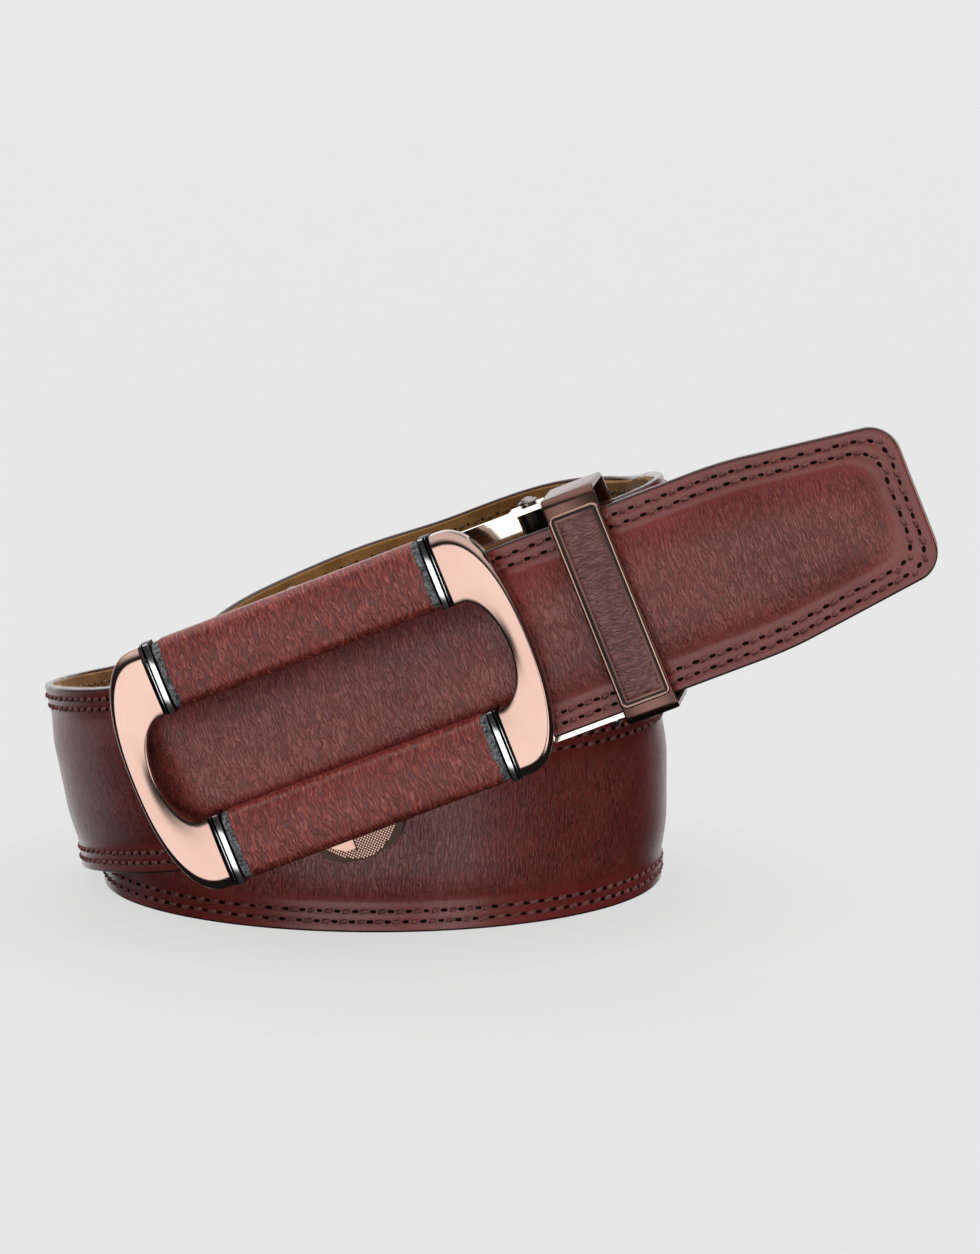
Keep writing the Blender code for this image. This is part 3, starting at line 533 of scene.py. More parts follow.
THREAD = Speckle(
    "thread_finish", (0.120, 0.026, 0.024), (0.380, 0.125, 0.112), fine=(4200.0, 2.0, 0.6),
    broad=(500.0, 2.0), fine_share=0.6, span=(0.32, 0.66), roughness=0.45, relief=0.06 * MM,
    constants={"Specular_IOR_Level": 0.5, "Sheen_Weight": 0.2})
# Painted shade: near-black colour for the needle holes, standing in for the shade inside them.
NEEDLE_HOLE_SHADE = Speckle(
    "needle_hole_finish", (0.006, 0.0025, 0.0025), (0.020, 0.006, 0.006), fine=(3000.0, 2.0),
    roughness=0.9, relief=0.05 * MM, strength=0.6, constants={"Specular_IOR_Level": 0.1})
TRACK_PLASTIC = Speckle(
    "track_finish", (0.020, 0.010, 0.009), (0.048, 0.024, 0.021), fine=(900.0, 3.0),
    roughness=0.5, relief=0.03 * MM, strength=0.5)
STUDIO_PAPER = Speckle(
    "paper_finish", (0.17, 0.17, 0.17), (0.16745, 0.16745, 0.16745), fine=(60.0, 2.0),
    span=(0.3, 0.7), roughness=0.85,
    constants={"Specular_IOR_Level": 0.05, "Emission_Color": (1.0, 1.0, 1.0),
               "Emission_Strength": 0.628})


@dataclass(frozen=True)
class PolishedMetal:
    """Polished plating with the faint waves and hairlines of hand polishing."""

    name: str
    colour: Colour
    shade: Colour
    roughness: float = 0.10
    wave: float = 0.010 * MM
    hairline: float = 0.05

    def build(self) -> bpy.types.Material:
        """Make the material.

        Returns:
            The finished material.
        """
        sheet = MaterialSheet(self.name)
        place = sheet.object_place()
        wave = sheet.noise(place, 160.0, 2.0)
        hair = sheet.noise(place, 2400.0, 3.0, 0.7)
        patch = sheet.noise(place, 55.0, 3.0)
        colour = sheet.mix(sheet.spread(patch, 0.35, 0.65, 0.0, 0.55), self.colour, self.shade)
        roughness = sheet.math("ADD", self.roughness, sheet.math("MULTIPLY", hair, self.hairline))
        return sheet.finish(colour, roughness, sheet.bump(wave, self.wave, 0.5), Metallic=1.0)


class Finishes:
    """Every finish of the belt, built once."""

    def __init__(self) -> None:
        """Build the materials."""
        self.leather = StrapLeather().build()
        self.edge = EDGE_PAINT.build()
        self.suede = SUEDE.build()
        self.raw = RAW_EDGE.build()
        self.thread = THREAD.build()
        self.hole_shade = NEEDLE_HOLE_SHADE.build()
        self.gold_thread = replace(THREAD, name="lining_thread_finish", dark=(0.10, 0.045, 0.016),
                                   light=(0.26, 0.13, 0.045)).build()
        # Painted shade for the lining's needle holes, in a darker gold.
        self.gold_hole_shade = replace(NEEDLE_HOLE_SHADE, name="lining_hole_finish", dark=(0.05, 0.022, 0.008),
                                 light=(0.09, 0.040, 0.014)).build()
        self.track = TRACK_PLASTIC.build()
        self.wrap = WrapLeather("wrap_leather_finish").build()
        self.inlay = WrapLeather("inlay_leather_finish", dark=(0.185, 0.050, 0.046),
                                 light=(0.290, 0.096, 0.088), painted_glint=(0.46, 0.20, 0.18),
                                 crack=(0.060, 0.014, 0.013),
                                 grain=Grain(pitch=1.05, length=6.0, sway=0.6)).build()
        self.rose = PolishedMetal("rose_metal_finish", (0.520, 0.350, 0.298),
                                  (0.450, 0.290, 0.240)).build()
        # Painted reflection: a lighter copy of the rose plating for the frame, standing in for the
        # brighter reflection its plate catches.
        self.rose_painted_reflection = PolishedMetal("cream_metal_finish", (0.90, 0.79, 0.66), (0.84, 0.72, 0.58)).build()
        self.silver = PolishedMetal("silver_metal_finish", (0.90, 0.90, 0.91), (0.78, 0.78, 0.80),
                                    roughness=0.08).build()
        self.bronze = PolishedMetal("bronze_metal_finish", (0.185, 0.095, 0.080),
                                    (0.130, 0.065, 0.055), roughness=0.24).build()
        self.rim = PolishedMetal("rim_metal_finish", (0.50, 0.31, 0.25), (0.40, 0.24, 0.19),
                                 roughness=0.14).build()
        self.steel = PolishedMetal("steel_finish", (0.42, 0.39, 0.37), (0.33, 0.30, 0.29),
                                   roughness=0.22).build()
        self.lever = PolishedMetal("lever_metal_finish", (0.050, 0.030, 0.025),
                                   (0.030, 0.017, 0.014), roughness=0.28).build()
        # Near-black painted shade for gaps and shaded recesses: the ribs' sides and grooves, the strip
        # inside the keeper's rim and the clamp plate.
        self.gap_shade = PolishedMetal("groove_metal_finish", (0.030, 0.026, 0.026),
                                   (0.016, 0.014, 0.014), roughness=0.30).build()


class Maker:
    """Small mesh calls that every sub-assembly uses."""

    @staticmethod
    def show(name: str, mesh: bpy.types.Mesh, *materials: bpy.types.Material) -> bpy.types.Object:
        """Link a mesh as an object at the origin.

        Args:
            name: the piece's name.
            mesh: its mesh, in the row frame.
            materials: its materials in the order of the faces' numbers.

        Returns:
            The new object.
        """
        obj = bpy.data.objects.new(name, mesh)
        bpy.context.scene.collection.objects.link(obj)
        for material in materials:
            mesh.materials.append(material)
        return obj

    @staticmethod
    def mesh(name: str, bm: bmesh.types.BMesh, angle: float = 40.0) -> bpy.types.Mesh:
        """Turn a bmesh into a smooth mesh with sharp edges where it bends more than an angle.

        Args:
            name: the mesh's name.
            bm: the bmesh, which is freed.
            angle: the angle in degrees.

        Returns:
            The mesh.
        """
        bmesh.ops.recalc_face_normals(bm, faces=bm.faces)
        mesh = bpy.data.meshes.new(name)
        bm.to_mesh(mesh)
        bm.free()
        mesh.shade_smooth()
        mesh.set_sharp_from_angle(angle=math.radians(angle))
        return mesh

    @staticmethod
    def tube(name: str, rings: list[list[Point]], angle: float, slots: list[int] | None = None,
             cap: int | None = 0) -> bpy.types.Mesh:
        """A mesh through rings of points.

        Args:
            name: the mesh's name.
            rings: the rings in order, each with the same number of points.
            angle: degrees past which an edge is sharp.
            slots: material numbers of the stretches round a ring, or none for 0.
            cap: material number of the two end faces, or None to join the last ring to the first.

        Returns:
            The mesh.
        """
        bm = bmesh.new()
        grid = [[bm.verts.new(point) for point in ring] for ring in rings]
        size = len(grid[0])
        ahead = grid[1:] if cap is not None else grid[1:] + grid[:1]
        for ring, following in zip(grid, ahead):
            for i in range(size):
                j = (i + 1) % size
                face = bm.faces.new((ring[i], ring[j], following[j], following[i]))
                face.material_index = slots[i] if slots else 0
        if cap is not None:
            for ring in (grid[0], grid[-1]):
                bm.faces.new(ring).material_index = cap
        return Maker.mesh(name, bm, angle)

    @staticmethod
    def places(name: str, points: list[np.ndarray], outs: list[np.ndarray],
               edges: list[tuple[int, int]]) -> bpy.types.Object:
        """An object of bare points with the attribute out, for Geometry Nodes.

        Args:
            name: the object's name.
            points: the points.
            outs: the outward direction at each.
            edges: pairs of points that follow each other.

        Returns:
            The object.
        """
        mesh = bpy.data.meshes.new(name)
        mesh.from_pydata([list(point) for point in points], edges, [])
        out = mesh.attributes.new("out", "FLOAT_VECTOR", "POINT")
        out.data.foreach_set("vector", np.array(outs, np.float32).ravel())
        return Maker.show(name, mesh)

    @staticmethod
    def dress(obj: bpy.types.Object, body: Body, slot: str, *nodes: str) -> None:
        """Give a finished piece its body, and hide the CAD nodes that it stands for.

        Args:
            obj: the piece.
            body: the body it rides on.
            slot: not used.
            nodes: CAD nodes that it replaces.
        """
        if nodes:
            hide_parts(*nodes)
        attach(obj, body.value)
        count = sum(len(p.vertices) - 2 for p in obj.data.polygons)
        log.info("%s rides on %s with %d triangles", obj.name, body.value, count)


@dataclass
class BuckleAxes:
    """The buckle's own axes in the row frame.

    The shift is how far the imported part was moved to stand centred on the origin.
    """

    shift: Point = (-0.01837041602, 0.01286523044, 0.0)
    coil_radius: float = 50.6 * MM
    clearance: float = 2.0 * MM
    x: float = -6.6 * MM
    height: float = 43.6 * MM
    yaw: float = math.radians(7.0)
    roll: float = math.radians(21.9)
    leather_top: float = 2.5 * MM
    frame_back: float = -9.95 * MM

    def __post_init__(self) -> None:
        """Work out the axes and the middle."""
        self.u = np.array((math.cos(self.roll) * math.cos(self.yaw),
                           -math.cos(self.roll) * math.sin(self.yaw), math.sin(self.roll)))
        self.n = np.array((-math.sin(self.yaw), -math.cos(self.yaw), 0.0))
        self.v = np.cross(self.n, self.u)
        depth = self.coil_radius + self.leather_top + self.clearance - self.frame_back
        self.centre = np.array((self.x, -depth, self.height)) + np.array(self.shift)

    def place(self, u: float, v: float, n: float) -> np.ndarray:
        """Row-frame place of a point in the buckle."""
        return self.centre + u * self.u + v * self.v + n * self.n


@dataclass
class StrapSizes:
    """The strap's section and its ends."""

    width: float = 35.0 * MM
    leather_edge: float = 1.5 * MM
    pad_height: float = 0.85 * MM
    lining_thickness: float = 1.1 * MM
    lining_inset: float = 0.35 * MM
    margin: float = 5.4 * MM
    gap: float = 0.3 * MM
    turn_gap: float = 0.7 * MM
    drop: float = 1.3 * MM
    taper: float = 30.0 * MM
    tip_width: float = 27.0 * MM
    tip_corner: float = 4.5 * MM
    corner_reach: float = 1.17
    tip_u: float = 108.6 * MM
    fixed_start: float = 46.5 * MM
    fixed_leaves: float = 57.7 * MM
    fixed_face: float = -6.15 * MM
    straight_start: float = -27.9 * MM
    corner_out: float = 36.0 * MM
    corner_in: float = 27.0 * MM
    nose_out: float = 41.0 * MM
    nose_in: float = 60.0 * MM
    step: float = 1.7 * MM
    floor_turns: tuple[float, float] = (382.0, 900.0)
    pad_run: float = 7.4 * MM


# The coil from the fixed end outwards: turn in degrees from the coil's front, radius as
# a share of the coil's radius, strap layers added, height of the strap's middle as a
# share of its width, and lean in degrees.
COIL_ROWS = (
    (76.0, 1.085, 0.0, 1.715, 19.4),
    (96.0, 0.985, 0.0, 1.625, 19.4),
    (118.0, 0.840, 0.0, 1.535, 19.4),
    (131.0, 0.740, 0.0, 1.435, 19.4),
    (148.0, 0.670, 0.0, 1.305, 19.4),
    (172.0, 0.620, 0.0, 1.170, 19.4),
    (200.0, 0.575, 0.0, 1.020, 19.4),
    (230.0, 0.560, 0.0, 0.885, 19.2),
    (258.0, 0.570, 0.0, 0.750, 18.0),
    (288.0, 0.625, 0.0, 0.640, 14.5),
    (318.0, 0.715, 0.0, 0.560, 9.0),
    (350.0, 0.900, -1.0, 0.515, 3.5),
    (382.0, 0.975, -1.0, 0.500, 0.0),
    (412.0, 0.995, -1.0, 0.500, 0.0),
    (450.0, 1.000, -1.0, 0.500, 0.0),
    (540.0, 1.000, -0.9, 0.500, 0.0),
    (585.0, 1.000, -0.82, 0.500, 0.0),
    (610.0, 1.000, -0.62, 0.500, 0.0),
    (640.0, 1.000, -0.13, 0.500, 0.0),
    (675.0, 1.000, 0.0, 0.500, 0.0),
    (720.0, 1.000, 0.0, 0.500, 0.0),
    (810.0, 1.000, 0.0, 0.500, 0.0),
    (900.0, 1.000, 0.15, 0.500, 0.0),
    (945.0, 1.000, 0.24, 0.505, 0.8),
    (970.0, 1.000, 0.52, 0.520, 2.2),
    (985.0, 1.000, 0.90, 0.550, 5.0),
    (1000.0, 1.000, 1.40, 0.600, 9.5),
    (1010.0, 1.000, 1.85, 0.640, 12.5),
)


class StrapRoute:
    """The strap's middle line from its fixed end, round the coil and out to its tip."""

    fixed_count = 8
    bend_count = 40
    coil_count = 468
    tail_count = 81
    corner_count = 17
    tip_step = 0.42 * MM

    def __init__(self, axes: BuckleAxes, sizes: StrapSizes) -> None:
        """Work out the stations along the strap.

        Args:
            axes: the buckle's axes.
            sizes: the strap's sizes.
        """
        self.axes = axes
        self.sizes = sizes
        rough = self.rough_points()
        self.points, self.lean, kinds = self.even_points(*rough)
        self.fixed = kinds == 0
        self.straight = kinds == 2
        self.set_frames()

    def rough_points(self) -> tuple[np.ndarray, np.ndarray, np.ndarray]:
        """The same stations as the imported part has, with a finer coil.

        Returns:
            The points, the leans and the kinds: 0 fixed end, 1 bends and coil, 2 tail.
        """
        s = self.sizes
        rows = np.array(COIL_ROWS)
        turns = np.linspace(rows[0, 0], rows[-1, 0], self.coil_count)
        coil, coil_lean = self.coil_points(rows, turns)
        fixed = np.array([self.axes.place(u, -s.drop, s.fixed_face)
                          for u in np.linspace(s.fixed_start, s.fixed_leaves, self.fixed_count)])
        straight = np.array([self.axes.place(u, -s.drop, 0.0)
                             for u in np.linspace(s.straight_start, s.tip_u, self.tail_count)])
        nose_run = coil[1] - coil[0]
        nose_run *= s.nose_in / np.linalg.norm(nose_run)
        nose = self.joining_curve(fixed[-1], self.axes.u * s.nose_out, coil[0], nose_run)
        corner_run = coil[-1] - coil[-2]
        corner_run *= s.corner_out / np.linalg.norm(corner_run)
        corner = self.joining_curve(coil[-1], corner_run, straight[0], self.axes.u * s.corner_in)
        roll = self.axes.roll
        count = self.bend_count + 2
        leans = (np.full(len(fixed), roll), np.linspace(roll, coil_lean[0], count)[1:-1], coil_lean,
                 np.linspace(coil_lean[-1], roll, count)[1:-1], np.full(len(straight), roll))
        kinds = np.concatenate([np.full(len(run), kind) for run, kind in
                                zip((fixed, nose, coil, corner, straight), (0, 1, 1, 1, 2))])
        points = np.concatenate((fixed, nose, coil, corner, straight))
        return points, np.concatenate(leans), kinds

    def coil_points(self, rows: np.ndarray, turns: np.ndarray) -> tuple[np.ndarray, np.ndarray]:
        """Points and leans of the strap in the coil.

        Args:
            rows: the table of the coil.
            turns: the wanted angles in degrees.

        Returns:
            The points in the row frame and the leans.
        """
        s = self.sizes
        pitch = self.axes.leather_top + s.gap / 2 + s.lining_thickness + s.turn_gap
        radii = rows[:, 1] * self.axes.coil_radius + rows[:, 2] * pitch
        radius = self.natural_spline(rows[:, 0], radii, turns)
        height = self.natural_spline(rows[:, 0], rows[:, 3] * s.width, turns)
        lean = self.natural_spline(rows[:, 0], np.radians(rows[:, 4]), turns)
        height = np.maximum(height, s.width / 2)
        on_floor = (turns >= s.floor_turns[0]) & (turns <= s.floor_turns[1])
        height[on_floor] = s.width / 2
        lean[on_floor] = 0.0
        angle = np.radians(turns)
        points = np.stack((radius * np.sin(angle), -radius * np.cos(angle), height), axis=1)
        return points + np.array(self.axes.shift), lean

    @staticmethod
    def natural_spline(knots: np.ndarray, values: np.ndarray, wanted: np.ndarray) -> np.ndarray:
        """Values of the natural cubic spline through the knots.

        Args:
            knots: where the values are given.
            values: the given values.
            wanted: where values are wanted.

        Returns:
            The wanted values.
        """
        count = len(knots)
        steps = np.diff(knots)
        slopes = np.diff(values) / steps
        system = np.eye(count)
        right = np.zeros(count)
        for i in range(1, count - 1):
            system[i, i - 1:i + 2] = steps[i - 1], 2 * (steps[i - 1] + steps[i]), steps[i]
            right[i] = 6 * (slopes[i] - slopes[i - 1])
        bend = np.linalg.solve(system, right)
        i = np.clip(np.searchsorted(knots, wanted, side="right") - 1, 0, count - 2)
        x = wanted - knots[i]
        start_slope = slopes[i] - steps[i] * (2 * bend[i] + bend[i + 1]) / 6
        cubic = (bend[i + 1] - bend[i]) / (6 * steps[i])
        return values[i] + start_slope * x + bend[i] / 2 * x ** 2 + cubic * x ** 3

    def joining_curve(self, start: np.ndarray, start_run: np.ndarray, end: np.ndarray,
                      end_run: np.ndarray) -> np.ndarray:
        """Inner points of a smooth curve between two places.

        Args:
            start: where it starts.
            start_run: its direction and pull there.
            end: where it ends.
            end_run: its direction and pull there.

        Returns:
            The points.
        """
        t = np.linspace(0.0, 1.0, self.bend_count + 2)[1:-1, None]
        return ((2 * t ** 3 - 3 * t ** 2 + 1) * start + (t ** 3 - 2 * t ** 2 + t) * start_run
                + (3 * t ** 2 - 2 * t ** 3) * end + (t ** 3 - t ** 2) * end_run)

    def even_points(self, points: np.ndarray, lean: np.ndarray,
                    kinds: np.ndarray) -> tuple[np.ndarray, np.ndarray, np.ndarray]:
        """Spread the stations evenly along the strap, closer together at the tip.

        Args:
            points: the rough points.
            lean: their leans.
            kinds: their kinds.

        Returns:
            The even points, leans and kinds.
        """
        s = self.sizes
        runs = np.linalg.norm(np.diff(points, axis=0), axis=1)
        lengths = np.concatenate(((0.0,), np.cumsum(runs)))
        total = lengths[-1]
        tip_zone = s.margin + s.pad_run
        places = np.arange(0.0, total - tip_zone, s.step)
        round_share = 1 - np.cos(np.linspace(0, math.pi / 2, self.corner_count))
        corner = total - s.tip_corner * round_share[::-1]
        before = np.arange(total - tip_zone, total - s.tip_corner, self.tip_step)
        places = np.concatenate((places, before, corner))
        self.lengths = places
        self.total = total
        even = np.stack([np.interp(places, lengths, points[:, i]) for i in range(3)], axis=1)
        kind = kinds[np.clip(np.searchsorted(lengths, places - 1e-9), 0, len(kinds) - 1)]
        return even, np.interp(places, lengths, lean), kind

    def set_frames(self) -> None:
        """Direction along the strap, up across it and out of its face at each station."""
        along = np.gradient(self.points, self.lengths, axis=0)
        along[self.straight | self.fixed] = self.axes.u
        along /= np.linalg.norm(along, axis=1)[:, None]
        up = np.stack((-np.sin(self.lean), np.zeros(len(self.lean)), np.cos(self.lean)), axis=1)
        up[self.straight | self.fixed] = self.axes.v
        up -= (up * along).sum(axis=1)[:, None] * along
        up /= np.linalg.norm(up, axis=1)[:, None]
        self.along = along
        self.up = up
        self.out = np.cross(along, up)

    def at(self, length: float, across: float, out: float) -> np.ndarray:
        """Row-frame place at a length along the strap.

        Args:
            length: metres from the fixed end.
            across: metres up from the strap's middle.
            out: metres out of its face.

        Returns:
            The place.
        """
        values = [np.array([np.interp(length, self.lengths, grid[:, i]) for i in range(3)])
                  for grid in (self.points, self.up, self.out)]
        return values[0] + across * values[1] + out * values[2]

    def half_width(self, to_tip: float) -> float:
        """Half the strap's width at a distance from its tip.

        Args:
            to_tip: metres from the tip.

        Returns:
            Half the width in metres.
        """
        s = self.sizes
        half = s.width / 2
        if to_tip < s.taper:
            share = 1 - to_tip / s.taper
            half -= share * (s.width - s.tip_width) / 2
        if to_tip < s.tip_corner:
            inside = s.tip_corner - to_tip
            half -= s.tip_corner - math.sqrt(max(s.tip_corner ** 2 - inside ** 2, 0.0))
        return half

    def smooth_half(self, to_tip: float) -> float:
        """Half width with the kink where the taper starts made round.

        Args:
            to_tip: metres from the tip.

        Returns:
            Half the width in metres.
        """
        s = self.sizes
        blend = 5.0 * MM
        if abs(to_tip - s.taper) < blend:
            slope = (s.width - s.tip_width) / 2 / s.taper
            inside = (blend - (to_tip - s.taper)) / 2
            return s.width / 2 - slope * inside ** 2 / blend
        return self.half_width(to_tip)

    def edge_distance(self, across: float, to_tip: float) -> float:
        """Distance from the strap's outline, rounded at the tip's corners.

        Args:
            across: metres from the strap's middle.
            to_tip: metres from its tip.

        Returns:
            Metres in from the nearest edge.
        """
        s = self.sizes
        full = s.width / 2
        if to_tip < s.taper:
            full -= (1 - to_tip / s.taper) * (s.width - s.tip_width) / 2
        aside = full - abs(across)
        reach = s.corner_reach * s.tip_corner
        share = max(reach - abs(aside - to_tip), 0.0) / reach
        return max(min(aside, to_tip) - share ** 2 * reach / 4, 0.0)


# Where the leather's face has a point across it, in millimetres in from its edge.
FACE_INSETS = (0.40, 0.8, 1.2, 1.6, 1.9, 2.2, 2.55, 2.95, 3.35, 3.65, 3.95, 4.25, 4.6, 5.0, 5.4,
               5.8, 6.3, 6.9, 7.6, 8.3, 9.1, 10.0, 11.1, 12.4, 13.9, 15.6)


@dataclass
class Strap:
    """The padded leather, its lining and its stitches."""

    route: StrapRoute
    sizes: StrapSizes
    edge_round: float = 0.38 * MM
    welt: float = 0.10 * MM
    outer_row: float = 1.95 * MM
    inner_row: float = 3.85 * MM
    stitch_pitch: float = 3.1 * MM
    tip_corner: float = 4.3 * MM
    thread_radius: float = 0.44 * MM
    hole_length: float = 1.25 * MM
    hole_width: float = 1.12 * MM
    lining_row: float = 2.3 * MM
    lining_round: float = 0.22 * MM
    lining_share: float = 0.6

    def surface(self, inset: float) -> float:
        """Height of the leather's face above its flat margin.

        Args:
            inset: metres in from the strap's nearest edge.

        Returns:
            Height in metres.
        """
        s = self.sizes
        groove = sum(math.exp(-((inset - row) / (0.60 * MM)) ** 2)
                     for row in (self.outer_row, self.inner_row))
        if inset < s.margin:
            return -self.welt * groove
        share = min((inset - s.margin) / s.pad_run, 1.0)
        return s.pad_height * share ** 1.25 * (2.25 - 1.25 * share) - self.welt * groove

    def leather_section(self, to_tip: float) -> list[tuple[float, float, int]]:
        """Outline of the leather across the strap.

        Args:
            to_tip: metres from the strap's tip.

        Returns:
            Triples of across, out and material number, from the upper edge's foot over
            the face to the lower edge's foot.
        """
        s = self.sizes
        half = self.route.smooth_half(to_tip)
        low = s.gap / 2
        top = low + s.leather_edge
        r = self.edge_round
        side = [(half - 0.12 * MM, low, 1), (half, low + 0.15 * MM, 1), (half, top - r, 1)]
        for step in range(1, 4):
            angle = math.pi / 2 * step / 4
            side.append((half - r * (1 - math.cos(angle)), top - r * (1 - math.sin(angle)), 1))
        shrink = (half - s.margin) / (s.width / 2 - s.margin)

        def face(across: float, limit: float) -> tuple[float, float, int]:
            """A point of the face, no deeper in than a limit.

            Args:
                across: metres from the strap's middle.
                limit: metres in from the side edge.

            Returns:
                Across, out and the material number.
            """
            depth = min(self.route.edge_distance(across, to_tip), limit)
            rim = r * (1 - math.sqrt(max(1 - (1 - min(depth / r, 1.0)) ** 2, 0.0)))
            return across, top + self.surface(depth) - rim, 0

        for inset in FACE_INSETS:
            inset *= MM
            if inset > s.margin:
                inset = s.margin + (inset - s.margin) * shrink
            side.append(face(half - inset, inset))
        side.append(face(0.0, s.width))
        return side + [(-across, out, slot) for across, out, slot in reversed(side[:-1])]

    def build(self, finishes: Finishes) -> None:
        """Build and dress the leather, the lining and the stitches.

        Args:
            finishes: the materials.
        """
        Maker.dress(self.build_leather(finishes), Body.BELT, "strap_leather", "strap_leather")
        Maker.dress(self.build_lining(finishes), Body.BELT, "suede_lining", "strap_lining")
        for row in self.build_stitches(finishes):
            Maker.dress(row, Body.BELT, "strap_leather")

    def build_leather(self, finishes: Finishes) -> bpy.types.Object:
        """Skin the leather along the whole route.

        Args:
            finishes: the materials.

        Returns:
            The leather.
        """
        route = self.route
        sections = [self.leather_section(route.total - length) for length in route.lengths]
        return self.skin("strap_leather_skin", sections, 0.0, (finishes.leather, finishes.edge))

    def skin(self, name: str, sections: list[list[tuple[float, float, int]]], turn: float,
             materials: tuple[bpy.types.Material, ...]) -> bpy.types.Object:
        """Closed mesh through one section for each station, with a UV map in metres.

        Args:
            name: the piece's name.
            sections: one outline for each station.
            turn: metres added to the place along the strap.
            materials: the materials by number.

        Returns:
            The new object.
        """
        route = self.route
        bm = bmesh.new()
        uv = bm.loops.layers.uv.new("Surface")
        inset = bm.verts.layers.float.new("Inset")
        rings = []
        for station, section in enumerate(sections):
            base, up, out = route.points[station], route.up[station], route.out[station]
            rings.append([bm.verts.new(base + a * up + o * out) for a, o, _ in section])
            to_tip = route.total - route.lengths[station]
            for vert, (a, _, _) in zip(rings[-1], section):
                vert[inset] = route.edge_distance(a, to_tip)
        size = len(sections[0])
        last = len(materials) - 1
        for k in range(len(rings) - 1):
            for i in range(size):
                j = (i + 1) % size
                face = bm.faces.new((rings[k][j], rings[k][i], rings[k + 1][i], rings[k + 1][j]))
                slot = max(sections[k][i][2], sections[k][j][2])
                face.material_index = last if j == 0 else min(slot, last)
                corners = ((k, j), (k, i), (k + 1, i), (k + 1, j))
                for loop, (row, column) in zip(face.loops, corners):
                    loop[uv].uv = (route.lengths[row] + turn, sections[row][column][0])
        for ring in (rings[0], rings[-1][::-1]):
            bm.faces.new(ring).material_index = last
        return Maker.show(name, Maker.mesh(name, bm, 55.0), *materials)

    def build_lining(self, finishes: Finishes) -> bpy.types.Object:
        """Skin the lining along the whole route.

        Args:
            finishes: the materials.

        Returns:
            The lining.
        """
        s = self.sizes
        front = -s.gap / 2
        back = front - s.lining_thickness
        r = self.lining_round
        sections = []
        for length in self.route.lengths:
            reach = self.route.smooth_half(self.route.total - length) - s.lining_inset
            half_side = [(0.0, front, 0), (reach * 0.6, front, 0), (reach, front, 0),
                         (reach, back + r, 0), (reach - 0.3 * r, back + 0.3 * r, 0),
                         (reach - r, back, 0), (reach * 0.6, back, 0)]
            other = [(-a, o, m) for a, o, m in reversed(half_side[1:])]
            sections.append(half_side + [(0.0, back, 0)] + other)
        return self.skin("strap_lining_skin", sections, 0.3, (finishes.suede,))

    def row_path(self, inset: float) -> list[tuple[float, float]]:
        """Path of a stitch row: up one edge, round the tip and back along the other.

        Args:
            inset: metres in from the strap's edge.

        Returns:
            Pairs of a length along the strap and a place across it.
        """
        route = self.route
        tip = route.total - inset
        bend = self.tip_corner
        upper = [(length, route.smooth_half(route.total - length) - inset)
                 for length in np.arange(2.0 * MM, tip - bend, 0.8 * MM)]
        height = upper[-1][1] - bend
        corner = [(tip - bend * (1 - math.sin(a)), height + bend * math.cos(a))
                  for a in np.linspace(0.15, math.pi / 2, 8)]
        half_path = upper + corner
        return half_path + [(x, -y) for x, y in reversed(half_path)]

    def needle_places(self, path: list[tuple[float, float]], lift: float,
                      start: float) -> list[tuple[np.ndarray, np.ndarray]]:
        """Evenly spaced needle places along a path on the strap.

        Args:
            path: pairs of a length and a place across.
            lift: metres out from the route.
            start: metres from the path's start to the first place.

        Returns:
            Pairs of a point and the outward direction there.
        """
        route = self.route
        line = np.array(path)
        walked = np.concatenate(((0.0,), np.cumsum(np.linalg.norm(np.diff(line, axis=0), axis=1))))
        row = []
        for run in np.arange(start, walked[-1] - start, self.stitch_pitch):
            length = float(np.interp(run, walked, line[:, 0]))
            across = float(np.interp(run, walked, line[:, 1]))
            out = np.array([np.interp(length, route.lengths, route.out[:, i]) for i in range(3)])
            row.append((route.at(length, across, lift), out))
        return row

    def build_stitches(self, finishes: Finishes) -> list[bpy.types.Object]:
        """Lay the stitches of the leather's two rows and the lining's rows.

        Args:
            finishes: the materials.

        Returns:
            The rows as plain meshes.
        """
        s = self.sizes
        top = s.gap / 2 + s.leather_edge - self.welt
        back = -s.gap / 2 - s.lining_thickness
        face_rows = [self.needle_places(self.row_path(inset), top,
                                        (1.5 + 0.5 * number) * self.stitch_pitch)
                     for number, inset in enumerate((self.outer_row, self.inner_row))]
        back_rows = [self.needle_places(self.row_path(self.lining_row), back,
                                        1.5 * self.stitch_pitch)]
        face = Sewing(self.stitch_pitch, self.thread_radius, self.hole_length, self.hole_width)
        share = self.lining_share
        lining = Sewing(self.stitch_pitch, 0.7 * self.thread_radius, share * self.hole_length,
                        share * self.hole_width)
        return [face.run("stitches_face", face_rows, 1.0, finishes.thread, finishes.hole_shade),
                lining.run("stitches_back", back_rows, -1.0, finishes.gold_thread,
                           finishes.gold_hole_shade)]


